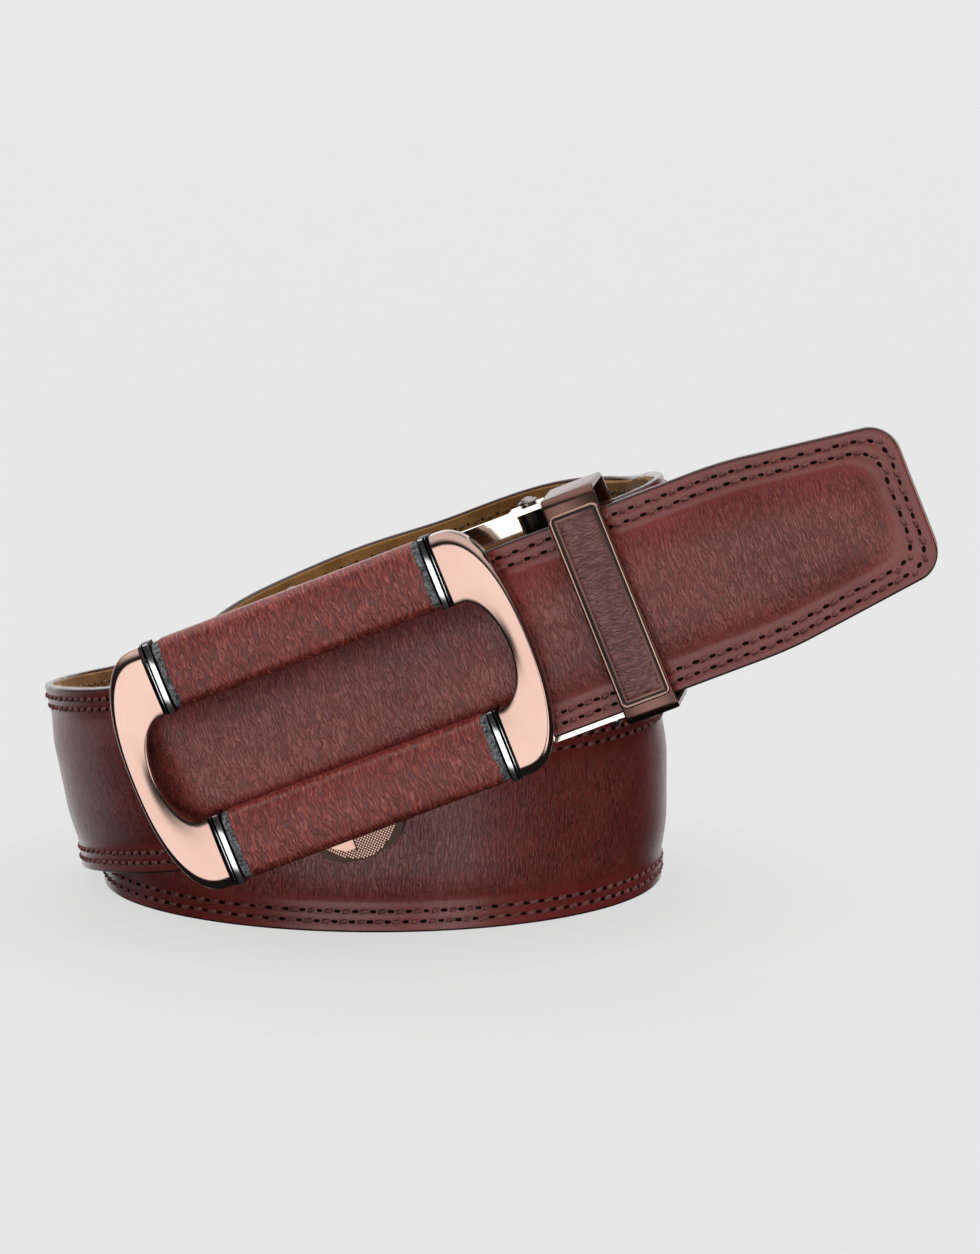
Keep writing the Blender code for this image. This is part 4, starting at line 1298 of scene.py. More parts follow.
@dataclass
class Sewing:
    """Geometry Nodes that set a needle hole's painted shade, a dark lens, at each place of a row and a
    stitch after it.
    """

    pitch: float
    radius: float
    hole_length: float
    hole_width: float
    half_share: float = 0.33
    slant: float = 0.17 * MM

    def thread_mesh(self) -> bpy.types.Mesh:
        """One stitch: a short thread that rises from one hole and sinks into the next.

        Returns:
            The thread's mesh.
        """
        sides, steps = 7, 6
        rings = []
        for step in range(steps + 1):
            t = 2 * step / steps - 1
            rise = self.radius * (0.15 - 1.5 * abs(t) ** 3.2)
            thick = self.radius * (1 - 0.35 * abs(t) ** 3)
            angles = [2 * math.pi * side / sides + 0.5 * t for side in range(sides)]
            rings.append([(self.pitch * self.half_share * t, self.slant * t + thick * math.cos(a),
                           rise + thick * 0.8 * math.sin(a)) for a in angles])
        return Maker.tube("stitch_thread", rings, 80.0)

    def hole_shade_mesh(self) -> bpy.types.Mesh:
        """One needle hole's painted shade: a thin dark lens on the leather's face that stands in for the
        shade inside the hole.

        Returns:
            The mesh of the hole's painted shade.
        """
        bm = bmesh.new()
        sides = 12
        rim = []
        for side in range(sides):
            angle = 2 * math.pi * side / sides
            rim.append(bm.verts.new((self.hole_length / 2 * math.cos(angle),
                                     self.hole_width / 2 * math.sin(angle), 0.012 * MM)))
        upper = bm.verts.new((0.0, 0.0, 0.045 * MM))
        lower = bm.verts.new((0.0, 0.0, -0.15 * MM))
        for side in range(sides):
            following = rim[(side + 1) % sides]
            bm.faces.new((rim[side], following, upper))
            bm.faces.new((following, rim[side], lower))
        return Maker.mesh("needle_hole", bm, 80.0)

    def stitches(self, sheet: GeometrySheet, forms: tuple[tuple[object, ...], ...]
                 ) -> bpy.types.NodeSocket:
        """Set the forms along the rows.

        Args:
            sheet: the group's nodes.
            forms: each form with its material and its shift as a share of the pitch.

        Returns:
            The geometry.
        """
        curve = sheet.add("GeometryNodeMeshToCurve", {"Mesh": sheet.start["Places"]})
        fed = {"Geometry": curve.outputs["Curve"], "Name": "run",
               "Value": sheet.add("GeometryNodeInputTangent").outputs[0]}
        keep = sheet.add("GeometryNodeStoreNamedAttribute", fed, data_type="FLOAT_VECTOR")
        fed = {"Curve": keep.outputs["Geometry"]}
        points = sheet.add("GeometryNodeCurveToPoints", fed, mode="EVALUATED")
        run = sheet.named("run")
        facing = sheet.facing(run)
        size, spread, turn = (sheet.start[key] for key in sheet.settings)
        joined = sheet.add("GeometryNodeJoinGeometry")
        for number, (form, material, shift) in enumerate(forms):
            fed = {0: run, "Scale": shift * self.pitch}
            offset = sheet.add("ShaderNodeVectorMath", fed, operation="SCALE")
            fed = {"Geometry": points.outputs["Points"], "Offset": offset.outputs[0]}
            moved = sheet.add("GeometryNodeSetPosition", fed)
            scale = sheet.chance(11 + number, sheet.math("SUBTRACT", size, spread),
                                 sheet.math("ADD", size, spread))
            angle = sheet.chance(23 + number, sheet.math("MULTIPLY", turn, -1.0), turn)
            euler = sheet.add("ShaderNodeCombineXYZ", {"Z": angle})
            own = sheet.add("FunctionNodeEulerToRotation", {0: euler.outputs[0]})
            fed = {"Rotation": facing, "Rotate By": own.outputs[0]}
            turned = sheet.add("FunctionNodeRotateRotation", fed, rotation_space="LOCAL")
            pieces = sheet.scatter(moved.outputs["Geometry"], form, turned.outputs["Rotation"],
                                   scale, material)
            sheet.feed(joined.inputs["Geometry"], pieces)
        return joined.outputs["Geometry"]

    def run(self, name: str, rows: list[list[tuple[np.ndarray, np.ndarray]]], flip: float,
            thread_finish: bpy.types.Material, hole_shade_finish: bpy.types.Material) -> bpy.types.Object:
        """Make the rows' stitches as one plain mesh.

        Args:
            name: the piece's name.
            rows: each row's points and outward directions.
            flip: -1 for rows on the strap's back.
            thread_finish: the thread's material.
            hole_shade_finish: the material of the holes' painted shade.

        Returns:
            The stitches.
        """
        thread = bpy.data.objects.new("thread_form", self.thread_mesh())
        hole_shade = bpy.data.objects.new("hole_form", self.hole_shade_mesh())
        points, outs, edges = [], [], []
        for row in rows:
            first = len(points)
            points += [point for point, _ in row]
            outs += [flip * out for _, out in row]
            edges += [(i, i + 1) for i in range(first, len(points) - 1)]
        sheet = GeometrySheet("sewing", {"Thread size": 1.0, "Size spread": 0.10, "Turn spread": 0.16})
        pieces = self.stitches(sheet, ((thread, thread_finish, 0.5), (hole_shade, hole_shade_finish, 0.0)))
        obj = sheet.grow(Maker.places(name, points, outs, edges), pieces, thread, hole_shade)
        obj.data.shade_smooth()
        return obj


@dataclass
class Gate:
    """The horns, bars and ribs of the buckle's gate."""

    axes: BuckleAxes
    bar_length: float = 50.4 * MM
    bar_width: float = 12.6 * MM
    bar_thickness: float = 4.4 * MM
    window: float = 19.8 * MM
    gap: float = 0.3 * MM
    rib_width: float = 1.8 * MM
    rib_proud: float = 0.25 * MM
    back: float = 3.0 * MM
    root: float = 0.9 * MM
    bulge: float = 9.2 * MM
    hollow: float = 5.2 * MM
    power: float = 2.35
    thickness: float = 4.9 * MM
    bar_crown: float = 0.35 * MM
    rib_round: float = 0.35 * MM

    def __post_init__(self) -> None:
        """Work out the places along the gate."""
        self.bar_end = self.bar_length / 2
        self.rib_start = self.bar_end + self.gap
        self.rib_end = self.rib_start + self.rib_width
        self.horn_start = self.rib_end + self.gap
        self.straight = self.horn_start + self.root
        self.half = self.window / 2 + self.bar_width

    def horn_rails(self, steps: int) -> list[tuple[tuple[float, float], tuple[float, float]]]:
        """Matching points on the horn's hollow edge and its bulging edge.

        Args:
            steps: how many pairs from the upper bar to the lower bar.

        Returns:
            Pairs of an inner and an outer point, each as u and v.
        """
        inner = self.window / 2
        rails = []
        for step in range(steps + 1):
            t = math.pi * (0.5 - step / steps)
            cosine, sine = math.cos(t), math.sin(t)
            reach = abs(cosine) ** (2 / self.power)
            rise = math.copysign(abs(sine) ** (2 / self.power), sine)
            outer = (self.straight + self.bulge * reach, self.half * rise)
            inside = (self.straight + self.hollow * cosine, inner * sine)
            rails.append((inside, outer))
        return rails

    def build_horn(self, side: Side, finishes: Finishes) -> bpy.types.Object:
        """One polished crescent with a crowned face and rounded edges.

        Args:
            side: which end of the gate.
            finishes: the materials.

        Returns:
            The horn.
        """
        rails = self.horn_rails(72)
        first_inside, first_outer = rails[0]
        last_inside, last_outer = rails[-1]
        foot = self.horn_start
        rails = ([((foot, first_inside[1]), (foot, first_outer[1]))] + rails
                 + [((foot, last_inside[1]), (foot, last_outer[1]))])
        rings = []
        for inside, outer in rails:
            rings.append([self.axes.place(
                side.value * (inside[0] + (outer[0] - inside[0]) * share),
                inside[1] + (outer[1] - inside[1]) * share, self.back + rise)
                for share, rise in self.horn_profile()])
        name = f"horn_{side.name.lower()}_polished"
        return Maker.show(name, Maker.tube(name, rings, 32.0), finishes.rose)

    def horn_profile(self) -> list[tuple[float, float]]:
        """Section of the horn as shares from its inner to its outer edge and heights.

        Returns:
            Pairs of a share and a height above the gate's back.
        """
        top = self.thickness
        profile = [(0.02, 0.0), (0.0, 0.25 * MM), (0.0, top - 0.62 * MM), (0.008, top - 0.48 * MM),
                   (0.022, top - 0.44 * MM)]
        for step in range(1, 13):
            share = 0.022 + 0.80 * step / 12
            rise = math.sin(math.pi / 2 * min(step / 10, 1.0))
            profile.append((share, top - 0.44 * MM * (1 - rise)))
        for step in range(1, 9):
            angle = math.pi / 2 * step / 8
            profile.append((0.822 + 0.178 * math.sin(angle), top - 1.35 * MM * (1 - math.cos(angle))))
        profile += [(1.0, 0.4 * MM), (0.97, 0.0)]
        return profile

    def build_bar(self, row: Row, finishes: Finishes) -> bpy.types.Object:
        """One leather-wrapped bar with rounded long edges and a cut end at each side.

        Args:
            row: which bar.
            finishes: the materials.

        Returns:
            The bar.
        """
        middle = row.value * (self.window / 2 + self.bar_width / 2)
        section = self.bar_section()
        bm = bmesh.new()
        uv = bm.loops.layers.uv.new("Surface")
        walked = np.concatenate(((0.0,), np.cumsum(np.linalg.norm(np.diff(
            np.array(section + section[:1]), axis=0), axis=1))))
        rings, places = [], []
        ragged = np.random.default_rng(5 + row.value).uniform(-1.0, 1.0, (4, len(section)))
        ragged += 0.6 * np.roll(ragged, 1, axis=1)
        # Metres in from the bar's end, share of the full section, and number of the sway.
        ends = ((0.0, 0.950, 0), (0.25 * MM, 0.955, 1), (1.15 * MM, 0.955, 2),
                (1.22 * MM, 0.990, 2), (1.40 * MM, 1.0, 2))
        sways = (0.0, 0.05 * MM, 0.20 * MM)
        stations = [(-self.bar_end, e, size, kind) for e, size, kind in ends]
        inner = np.linspace(-self.bar_end + 2.1 * MM, self.bar_end - 2.1 * MM, 60)
        stations += [(float(u), 0.0, 1.0, 0) for u in inner]
        stations += [(self.bar_end, -e, size, kind) for e, size, kind in reversed(ends)]
        for u, step_in, size, kind in stations:
            sway = ragged[0 if u < 0 else 1] * sways[kind]
            rings.append([bm.verts.new(self.axes.place(
                u + step_in + shift, middle + v * size,
                self.back + self.bar_thickness / 2 + n * size))
                for (v, n), shift in zip(section, sway)])
            places.append(u + step_in)
        count = len(section)
        for k in range(len(rings) - 1):
            for i in range(count):
                j = (i + 1) % count
                face = bm.faces.new((rings[k][i], rings[k][j], rings[k + 1][j], rings[k + 1][i]))
                corners = ((k, i), (k, i + 1), (k + 1, i + 1), (k + 1, i))
                face.material_index = 1 if k < 3 or k > len(rings) - 5 else 0
                for loop, (line, column) in zip(face.loops, corners):
                    loop[uv].uv = (places[line] + 0.2 * row.value, walked[column])
        for ring in (rings[0], rings[-1]):
            bm.faces.new(ring).material_index = 1
        name = f"bar_{row.name.lower()}_wrapped"
        return Maker.show(name, Maker.mesh(name, bm, 50.0), finishes.wrap, finishes.raw)

    def bar_section(self) -> list[tuple[float, float]]:
        """Outline of a bar across its length, with a slightly crowned face.

        Returns:
            Pairs of v and n from the bar's middle.
        """
        half_v, half_n = self.bar_width / 2, self.bar_thickness / 2
        r_front, r_back = 1.9 * MM, 0.6 * MM
        outline = []
        for sign_v, sign_n, radius in ((1, 1, r_front), (-1, 1, r_front), (-1, -1, r_back),
                                       (1, -1, r_back)):
            corner = []
            for step in range(7):
                angle = math.pi / 2 * step / 6
                corner.append((sign_v * (half_v - radius + radius * math.cos(angle)),
                               sign_n * (half_n - radius + radius * math.sin(angle))))
            outline += corner if sign_v * sign_n > 0 else corner[::-1]
            if (sign_v, sign_n) == (1, 1):
                for step in range(1, 8):
                    v = (half_v - radius) * (1 - step / 4)
                    crown = self.bar_crown * (1 - (v / (half_v - radius)) ** 2)
                    outline.append((v, half_n + crown))
        return outline

    def rib_section(self) -> list[tuple[float, float, int]]:
        """Outline of a rib from its bar's side to its horn's side.

        Returns:
            Triples of u from the rib's start, height above the gate's back and the
            material number of the stretch that follows.
        """
        top = self.bar_thickness + self.rib_proud
        lip = self.bar_thickness + 0.05 * MM
        low = top - 1.1 * MM
        return [(0.0, 0.0, 1), (0.0, top - 0.14 * MM, 1), (0.12 * MM, top - 0.10 * MM, 0),
                (0.17 * MM, top, 0), (0.55 * MM, top + 0.01 * MM, 0), (1.00 * MM, top, 0),
                (1.05 * MM, top - 0.10 * MM, 1), (1.08 * MM, low, 1), (1.38 * MM, low, 1),
                (1.40 * MM, lip - 0.10 * MM, 0), (1.43 * MM, lip, 0), (1.50 * MM, lip, 0),
                (1.53 * MM, lip - 0.10 * MM, 1), (1.55 * MM, low, 1), (1.8 * MM, low, 1),
                (1.8 * MM, 0.0, 1)]

    def build_rib(self, row: Row, side: Side, finishes: Finishes) -> bpy.types.Object:
        """One silver rib with the groove and the thin lip beside its horn; its sides and groove are
        painted near-black as painted shade.

        Args:
            row: which bar it ends.
            side: which end of that bar.
            finishes: the materials.

        Returns:
            The rib.
        """
        low = self.window / 2 - self.rib_proud
        high = self.window / 2 + self.bar_width + self.rib_proud
        section = self.rib_section()
        rings = []
        r = self.rib_round
        for v, drop in ((low, r), (low + 0.3 * r, 0.3 * r), (low + r, 0.0), (high - r, 0.0),
                        (high - 0.3 * r, 0.3 * r), (high, r)):
            rings.append([self.axes.place(side.value * (self.rib_start + u), row.value * v,
                                          self.back + min(n, max(n - drop, 0.0)))
                          for u, n, _ in section])
        name = f"rib_{row.name.lower()}_{side.name.lower()}_silver"
        mesh = Maker.tube(name, rings, 35.0, [slot for _, _, slot in section], 1)
        return Maker.show(name, mesh, finishes.silver, finishes.gap_shade)

    def build(self, finishes: Finishes) -> None:
        """Build and dress every piece of the gate.

        Args:
            finishes: the materials.
        """
        for side in Side:
            horn = self.build_horn(side, finishes)
            Maker.dress(horn, Body.BELT, "rose_metal", f"horn_{side.name.lower()}")
        for row in Row:
            bar = self.build_bar(row, finishes)
            Maker.dress(bar, Body.BELT, "wrap_leather", f"bar_{row.name.lower()}")
            for side in Side:
                rib = self.build_rib(row, side, finishes)
                Maker.dress(rib, Body.BELT, "silver_metal", f"rib_{row.name.lower()}_{side.name.lower()}")


@dataclass
class Keeper:
    """The loop beside the buckle: a bronze band, a rose rim and a leather inlay."""

    axes: BuckleAxes
    start: float = 47.5 * MM
    width: float = 9.6 * MM
    half_height: float = 21.0 * MM
    front: float = 5.0 * MM
    back: float = -11.45 * MM
    wall: float = 1.2 * MM
    corner: float = 1.6 * MM
    edge: float = 0.35 * MM
    rim_half: tuple[float, float] = (4.6 * MM, 18.0 * MM)
    rim_width: float = 0.62 * MM
    rim_height: float = 0.36 * MM
    rim_corner: float = 0.9 * MM
    rim_line: float = 0.34 * MM
    inlay_half: tuple[float, float] = (3.6 * MM, 17.0 * MM)
    inlay_bottom: float = 4.4 * MM
    inlay_height: float = 0.78 * MM

    @staticmethod
    def rounded(half_a: float, half_b: float, radius: float,
                steps: int) -> list[tuple[float, float, float, float]]:
        """A rounded rectangle's points with their outward directions.

        Args:
            half_a: half its size along the first axis.
            half_b: half its size along the second.
            radius: its corner radius.
            steps: points for each corner.

        Returns:
            Quadruples of a, b and the outward direction's parts.
        """
        points = []
        for quarter in range(4):
            sign_a = 1 if quarter in (0, 3) else -1
            sign_b = 1 if quarter in (0, 1) else -1
            for step in range(steps + 1):
                angle = math.pi / 2 * (quarter + step / steps)
                points.append((sign_a * (half_a - radius) + radius * math.cos(angle),
                               sign_b * (half_b - radius) + radius * math.sin(angle),
                               math.cos(angle), math.sin(angle)))
        return points

    def build_band(self, finishes: Finishes) -> bpy.types.Object:
        """The band round the strap, with rounded edges.

        Args:
            finishes: the materials.

        Returns:
            The band.
        """
        middle = (self.front + self.back) / 2
        e, wall = self.edge, self.wall
        section = [(0.0, wall - e), (0.0, e), (0.3 * e, 0.3 * e), (e, 0.0), (self.width / 2, -0.02 * MM),
                   (self.width - e, 0.0), (self.width - 0.3 * e, 0.3 * e), (self.width, e),
                   (self.width, wall - e), (self.width - e, wall), (e, wall)]
        rings = []
        for v, n, out_v, out_n in self.rounded(self.half_height, (self.front - self.back) / 2,
                                               self.corner, 6):
            rings.append([self.axes.place(self.start + u, v - out_v * d, middle + n - out_n * d)
                          for u, d in section])
        mesh = Maker.tube("keeper_band", rings, 38.0, cap=None)
        return Maker.show("keeper_band", mesh, finishes.bronze)

    def build_rim(self, finishes: Finishes) -> bpy.types.Object:
        """The raised rim on the front, with a flat near-black strip inside it as painted shade of the
        gap.

        Args:
            finishes: the materials.

        Returns:
            The rim.
        """
        w, h, dark = self.rim_width, self.rim_height, self.rim_line
        section = [(0.0, -0.2 * MM), (0.0, 0.35 * h), (0.16 * w, 0.80 * h), (0.38 * w, h),
                   (0.62 * w, h), (0.84 * w, 0.80 * h), (w, 0.35 * h), (w, 0.04 * MM),
                   (w + dark, 0.04 * MM), (w + dark, -0.2 * MM)]
        # Slot 1 is the flat strip of painted shade inside the rim.
        slots = [0] * 6 + [1] * 4
        centre = self.start + self.width / 2
        rings = []
        for u, v, out_u, out_v in self.rounded(*self.rim_half, self.rim_corner + 0.5 * w, 6):
            rings.append([self.axes.place(centre + u - out_u * d, v - out_v * d, self.front + n)
                          for d, n in section])
        mesh = Maker.tube("keeper_rim", rings, 60.0, slots, None)
        return Maker.show("keeper_rim", mesh, finishes.rim, finishes.gap_shade)

    def build_inlay(self, finishes: Finishes) -> bpy.types.Object:
        """The padded leather inlay inside the rim.

        Args:
            finishes: the materials.

        Returns:
            The inlay.
        """
        half_u, half_v = self.inlay_half
        centre = self.start + self.width / 2
        bm = bmesh.new()
        uv = bm.loops.layers.uv.new("Surface")
        rows, columns = 56, 14
        top = self.inlay_bottom + self.inlay_height
        grid, flat = [], {}
        for i in range(rows + 1):
            v = -half_v + 2 * half_v * (1 - math.cos(math.pi * i / rows)) / 2
            line = []
            for j in range(columns + 1):
                u = -half_u + 2 * half_u * (1 - math.cos(math.pi * j / columns)) / 2
                side = min(half_u - abs(u), half_v - abs(v))
                rise = 1 - (1 - min(side / (0.9 * MM), 1.0)) ** 2
                n = top - 0.42 * MM * (1 - rise)
                vert = bm.verts.new(self.axes.place(centre + u, v, n))
                flat[vert] = (v, u)
                line.append(vert)
            grid.append(line)
        for i in range(rows):
            for j in range(columns):
                bm.faces.new((grid[i][j], grid[i][j + 1], grid[i + 1][j + 1], grid[i + 1][j]))
        rim = (grid[0] + [line[-1] for line in grid[1:]] + grid[-1][-2::-1]
               + [line[0] for line in grid[-2:0:-1]])
        drop = Vector(-0.36 * MM * self.axes.n)
        foot = []
        for vert in rim:
            low = bm.verts.new(vert.co + drop)
            flat[low] = flat[vert]
            foot.append(low)
        for k, vert in enumerate(rim):
            m = (k + 1) % len(rim)
            bm.faces.new((vert, rim[m], foot[m], foot[k]))
        bm.faces.new(foot)
        for face in bm.faces:
            for loop in face.loops:
                loop[uv].uv = flat[loop.vert]
        return Maker.show("keeper_inlay_leather", Maker.mesh("keeper_inlay_leather", bm, 50.0),
                          finishes.inlay)

    def build(self, finishes: Finishes) -> None:
        """Build and dress the keeper's pieces.

        Args:
            finishes: the materials.
        """
        Maker.dress(self.build_band(finishes), Body.BELT, "bronze_metal", "keeper_loop")
        Maker.dress(self.build_rim(finishes), Body.BELT, "bronze_metal")
        Maker.dress(self.build_inlay(finishes), Body.BELT, "wrap_leather", "keeper_inlay")


@dataclass
class Hardware:
    """The cross pins with their domed heads, and the knurl and strip on the lever's tab."""

    axes: BuckleAxes
    pin_radius: float = 1.3 * MM
    head_radius: float = 1.7 * MM
    head_foot: float = 20.5 * MM
    head_height: float = 1.1 * MM
    pins: tuple[tuple[str, float, float], ...] = (("lever_pin", -1.2 * MM, -7.45 * MM),
                                                  ("clamp_pin", 43.7 * MM, -7.45 * MM))
    tab_left: float = -13.7 * MM
    tab_right: float = 2.8 * MM
    tab_top: float = -20.5 * MM
    tab_drop: float = 7.2 * MM
    tab_front: float = -3.0 * MM
    tab_back: float = -8.0 * MM
    side_share: float = 0.25
    stud: float = 0.62 * MM
    plain_right: float = -6.8 * MM
    plain_foot: float = 2.0 * MM
    strip_right: float = -7.0 * MM
    strip_foot: float = 1.5 * MM
    strip_drop: float = 4.9 * MM
    strip_rise: float = 0.20 * MM

    def build_pin(self, name: str, u: float, n: float, finishes: Finishes) -> bpy.types.Object:
        """One pin turned from its profile.

        Args:
            name: the CAD node it stands for.
            u: its place along the strap.
            n: its depth.
            finishes: the materials.

        Returns:
            The pin.
        """
        foot, head, r = self.head_foot, self.head_radius, self.pin_radius
        half = [(r, 0.0), (r, foot), (head, foot), (head, foot + 0.35 * MM),
                (head - 0.12 * MM, foot + 0.50 * MM), (head - 0.34 * MM, foot + 0.53 * MM),
                (head - 0.42 * MM, foot + 0.46 * MM)]
        for step in range(6):
            angle = math.pi / 2 * step / 5
            half.append(((head - 0.50 * MM) * math.cos(angle),
                         foot + 0.44 * MM + (self.head_height - 0.44 * MM) * math.sin(angle)))
        profile = [(radius, -v) for radius, v in reversed(half[1:])] + half[1:]
        sides = 32
        angles = [2 * math.pi * k / sides for k in range(sides)]
        bm = bmesh.new()
        rings = []
        for radius, v in profile[1:-1]:
            rings.append([bm.verts.new(self.axes.place(
                u + radius * math.cos(a), v, n + radius * math.sin(a))) for a in angles])
        for ring, following in zip(rings, rings[1:]):
            for k in range(sides):
                m = (k + 1) % sides
                bm.faces.new((ring[k], ring[m], following[m], following[k]))
        for ring, (_, v) in ((rings[0], profile[0]), (rings[-1], profile[-1])):
            tip = bm.verts.new(self.axes.place(u, v, n))
            for k in range(sides):
                bm.faces.new((ring[k], ring[(k + 1) % sides], tip))
        return Maker.show(f"{name}_turned", Maker.mesh(f"{name}_turned", bm, 40.0), finishes.steel)

    def tab_edge(self, u: float) -> float:
        """Height v of the tab's bowed lower edge at a place along it.

        Args:
            u: the place.

        Returns:
            The height in metres.
        """
        share = min(max((u - self.tab_left) / (self.tab_right - self.tab_left), 0.0), 1.0)
        bow = math.sin(math.pi * share) ** 0.8
        return self.tab_top - self.tab_drop * (self.side_share + (1 - self.side_share) * bow)

    def knurl_places(self) -> tuple[list[np.ndarray], list[np.ndarray]]:
        """Where the knurl's studs stand and which way they point.

        Returns:
            Row-frame points and outward directions.
        """
        points, outs = [], []
        pitch = self.stud
        rows = int((self.tab_drop + 1.0 * MM) / (pitch / 2))
        for line in range(rows):
            v = self.tab_top - line * pitch / 2
            offset = 0.5 * pitch * (line % 2)
            for u in np.arange(self.tab_left + 0.6 * MM + offset, self.tab_right - 0.5 * MM, pitch):
                inside = min(v - self.tab_edge(u - pitch / 2), v - self.tab_edge(u + pitch / 2))
                plain = u < self.plain_right and v > self.tab_edge(u) + self.plain_foot
                if inside > 0.15 * MM and not plain:
                    points.append(self.axes.place(u, v, self.tab_front))
                    outs.append(self.axes.n)
        places = np.arange(self.tab_left + 0.3 * MM, self.tab_right - 0.3 * MM, 0.05 * MM)
        edge = np.array([(u, self.tab_edge(u)) for u in places])
        walked = np.concatenate(((0.0,), np.cumsum(np.linalg.norm(np.diff(edge, axis=0), axis=1))))
        for line, n in enumerate(np.arange(self.tab_front - 0.4 * MM, self.tab_back + 0.2 * MM,
                                           -pitch / 2)):
            for run in np.arange(0.5 * pitch * (line % 2), walked[-1], pitch):
                u, v = (float(np.interp(run, walked, edge[:, i])) for i in range(2))
                slope = (self.tab_edge(u + 0.1 * MM) - self.tab_edge(u - 0.1 * MM)) / (0.2 * MM)
                normal = np.array((slope, -1.0)) / math.hypot(slope, 1.0)
                points.append(self.axes.place(u, v, n))
                outs.append(normal[0] * self.axes.u + normal[1] * self.axes.v)
        return points, outs

    def stud_mesh(self) -> bpy.types.Mesh:
        """One low four-sided stud with a flat top.

        Returns:
            The stud's mesh.
        """
        reach = 0.47 * self.stud
        rings = [[(size * reach * math.cos(a), size * reach * math.sin(a), height)
                  for a in (0.0, math.pi / 2, math.pi, 1.5 * math.pi)]
                 for size, height in ((1.0, -0.05 * MM), (0.62, 0.11 * MM))]
        return Maker.tube("stud", rings, 1.0)

    def build_knurl(self, finishes: Finishes) -> bpy.types.Object:
        """The knurl: Geometry Nodes that set a stud on each place of the tab.

        Args:
            finishes: the materials.

        Returns:
            The knurl.
        """
        points, outs = self.knurl_places()
        stud = bpy.data.objects.new("stud_form", self.stud_mesh())
        sheet = GeometrySheet("knurling", {"Stud size": 1.0})
        facing = sheet.facing([float(part) for part in self.axes.u])
        pieces = sheet.scatter(sheet.start["Places"], stud, facing, sheet.start["Stud size"],
                               finishes.rim)
        return sheet.grow(Maker.places("lever_knurl", points, outs, []), pieces, stud)

    def build_strip(self, finishes: Finishes) -> bpy.types.Object:
        """The plain polished strip beside the knurl, a thin raised plate.

        Args:
            finishes: the materials.

        Returns:
            The strip.
        """
        lines = []
        for u in np.linspace(self.tab_left + 1.0 * MM, self.strip_right, 24):
            low = max(self.tab_edge(u) + self.strip_foot, self.tab_top - self.strip_drop)
            if low < self.tab_top - 0.9 * MM:
                lines.append((float(u), self.tab_top - 0.3 * MM, low))
        rings = []
        for number, (u, high, low) in enumerate(lines):
            swell = math.sin(math.pi * (number + 0.6) / (len(lines) + 0.2)) ** 0.25
            rise = self.strip_rise * swell
            section = ((high, -0.1 * MM), (high - 0.12 * MM, rise), (low + 0.12 * MM, rise),
                       (low, -0.1 * MM))
            rings.append([self.axes.place(u, v, self.tab_front + n) for v, n in section])
        return Maker.show("lever_strip", Maker.tube("lever_strip", rings, 30.0), finishes.rim)

    def build(self, finishes: Finishes) -> None:
        """Build and dress the pins, the knurl and the strip.

        Args:
            finishes: the materials.
        """
        for name, u, n in self.pins:
            Maker.dress(self.build_pin(name, u, n, finishes), Body.BELT, "pin_steel", name)
        Maker.dress(self.build_knurl(finishes), Body.LEVER, "rose_metal")
        Maker.dress(self.build_strip(finishes), Body.LEVER, "rose_metal")


@dataclass(frozen=True)
class SoftBox:
    """A soft patch of light far away, by its direction and half sizes in degrees."""

    azimuth: float
    elevation: float
    half_width: float
    half_height: float
    strength: float


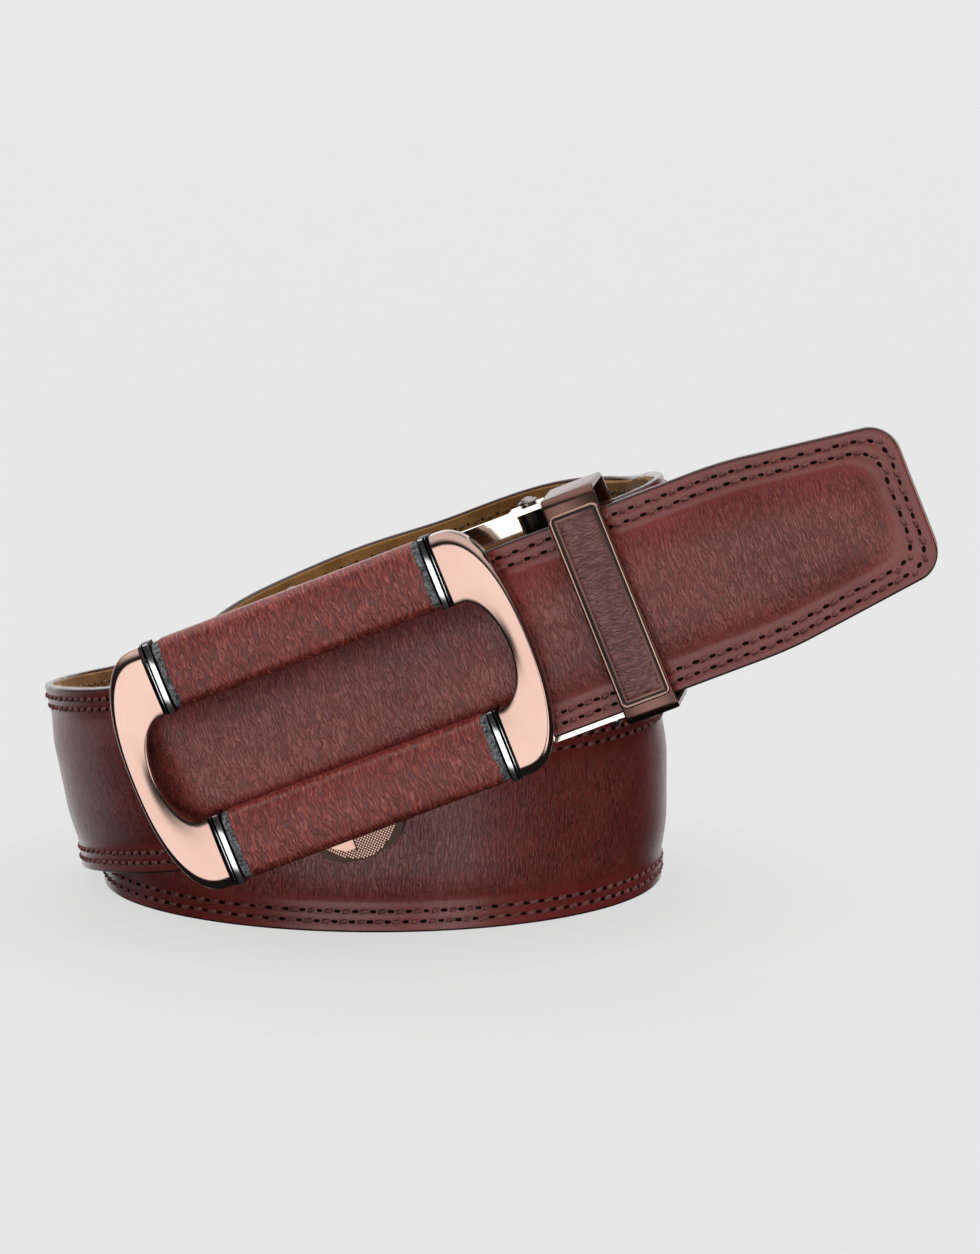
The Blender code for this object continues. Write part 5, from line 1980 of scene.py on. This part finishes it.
@dataclass
class Lights:
    """A studio dome: bright overhead, dark at the horizon, with soft boxes around the belt.

    Azimuth 0 is towards the camera and 90 to the right. The patches below the horizon
    stand for reflecting cards, which only reflections see, because the floor hides them.
    """

    overhead: float = 1.22
    horizon: float = 0.03
    below: float = 0.02
    boxes: tuple[SoftBox, ...] = (
        SoftBox(-14.0, -12.0, 28.0, 14.0, 1.85), SoftBox(30.0, -10.0, 13.0, 20.0, 2.1),
        SoftBox(-118.0, 4.0, 12.0, 30.0, 0.25), SoftBox(185.0, -5.0, 35.0, 25.0, 1.2))

    def build(self) -> None:
        """Set up the world, the floor and the plain view of colours."""
        bpy.context.scene.view_settings.view_transform = "Standard"
        world = bpy.data.worlds.new("studio")
        bpy.context.scene.world = world
        world.use_nodes = True
        sheet = Sheet(world.node_tree)
        direction = sheet.add("ShaderNodeTexCoord").outputs["Generated"]
        x, y, z = sheet.add("ShaderNodeSeparateXYZ", {0: direction}).outputs
        elevation = sheet.math("DEGREES", sheet.math("ARCSINE", z))
        azimuth = sheet.math("DEGREES", sheet.math("ARCTAN2", x, sheet.math("MULTIPLY", y, -1.0)))
        total = sheet.math("ADD", sheet.spread(z, 0.22, 0.74, 0.0, self.overhead - self.horizon),
                           sheet.spread(z, -0.05, 0.05, self.below, self.horizon))
        for box in self.boxes:
            turn = sheet.math("WRAP", sheet.math("SUBTRACT", azimuth, box.azimuth), 180.0, -180.0)
            rise = sheet.math("SUBTRACT", elevation, box.elevation)
            reach: object = 0.0
            for offset, half in ((turn, box.half_width), (rise, box.half_height)):
                share = sheet.math("ABSOLUTE", sheet.math("DIVIDE", offset, half))
                reach = sheet.math("ADD", reach, sheet.math("POWER", share, 3.0))
            total = sheet.math("ADD", total, sheet.spread(reach, 0.25, 1.0, box.strength, 0.0))
        background = world.node_tree.nodes["Background"]
        sheet.feed(background.inputs["Color"], (1.0, 1.0, 1.0))
        sheet.feed(background.inputs["Strength"], total)
        self.build_floor()

    @staticmethod
    def build_floor() -> None:
        """Lay the pale floor, which glossy and diffuse rays don't see."""
        mesh = bpy.data.meshes.new("floor")
        reach = 12.0
        mesh.from_pydata([(-reach, -reach, 0.0), (reach, -reach, 0.0), (reach, reach, 0.0),
                          (-reach, reach, 0.0)], [], [(0, 1, 2, 3)])
        floor = Maker.show("floor", mesh, STUDIO_PAPER.build())
        floor.visible_glossy = False
        floor.visible_diffuse = False


@dataclass
class PhotoCamera:
    """The camera at the photograph's angle."""

    place: Point = (0.001928, -1.162276, 0.247251)
    tilt: float = math.radians(9.7)
    focal_share: float = 6444.0 / 980.0
    sensor: float = 36.0

    def build(self) -> None:
        """Make the camera and set it as the scene's camera."""
        camera = bpy.data.cameras.new("photo_camera")
        camera.sensor_fit = "HORIZONTAL"
        camera.sensor_width = self.sensor
        camera.lens = self.focal_share * self.sensor
        camera.clip_end = 30.0
        obj = bpy.data.objects.new("photo_camera", camera)
        bpy.context.scene.collection.objects.link(obj)
        obj.location = self.place
        obj.rotation_euler = (math.pi / 2 - self.tilt, 0.0, 0.0)
        bpy.context.scene.camera = obj


def main() -> None:
    """Build the belt's looks, its light and its camera."""
    logging.basicConfig(level=logging.INFO, format="%(message)s")
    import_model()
    axes = BuckleAxes()
    sizes = StrapSizes()
    finishes = Finishes()
    PhotoCamera().build()
    Lights().build()
    Strap(StrapRoute(axes, sizes), sizes).build(finishes)
    Gate(axes).build(finishes)
    Keeper(axes).build(finishes)
    Hardware(axes).build(finishes)
    # The clamp plate gets the near-black painted shade, for the shade it sits in.
    # The frame gets the lighter copy of the rose plating, a painted reflection.
    for name, material in (("ratchet_track", finishes.track), ("buckle_frame", finishes.rose_painted_reflection),
                           ("release_lever", finishes.lever), ("clamp_plate", finishes.gap_shade)):
        node = bpy.data.objects[name]
        node.data.materials.clear()
        node.data.materials.append(material)


if __name__ == "__main__":
    main()
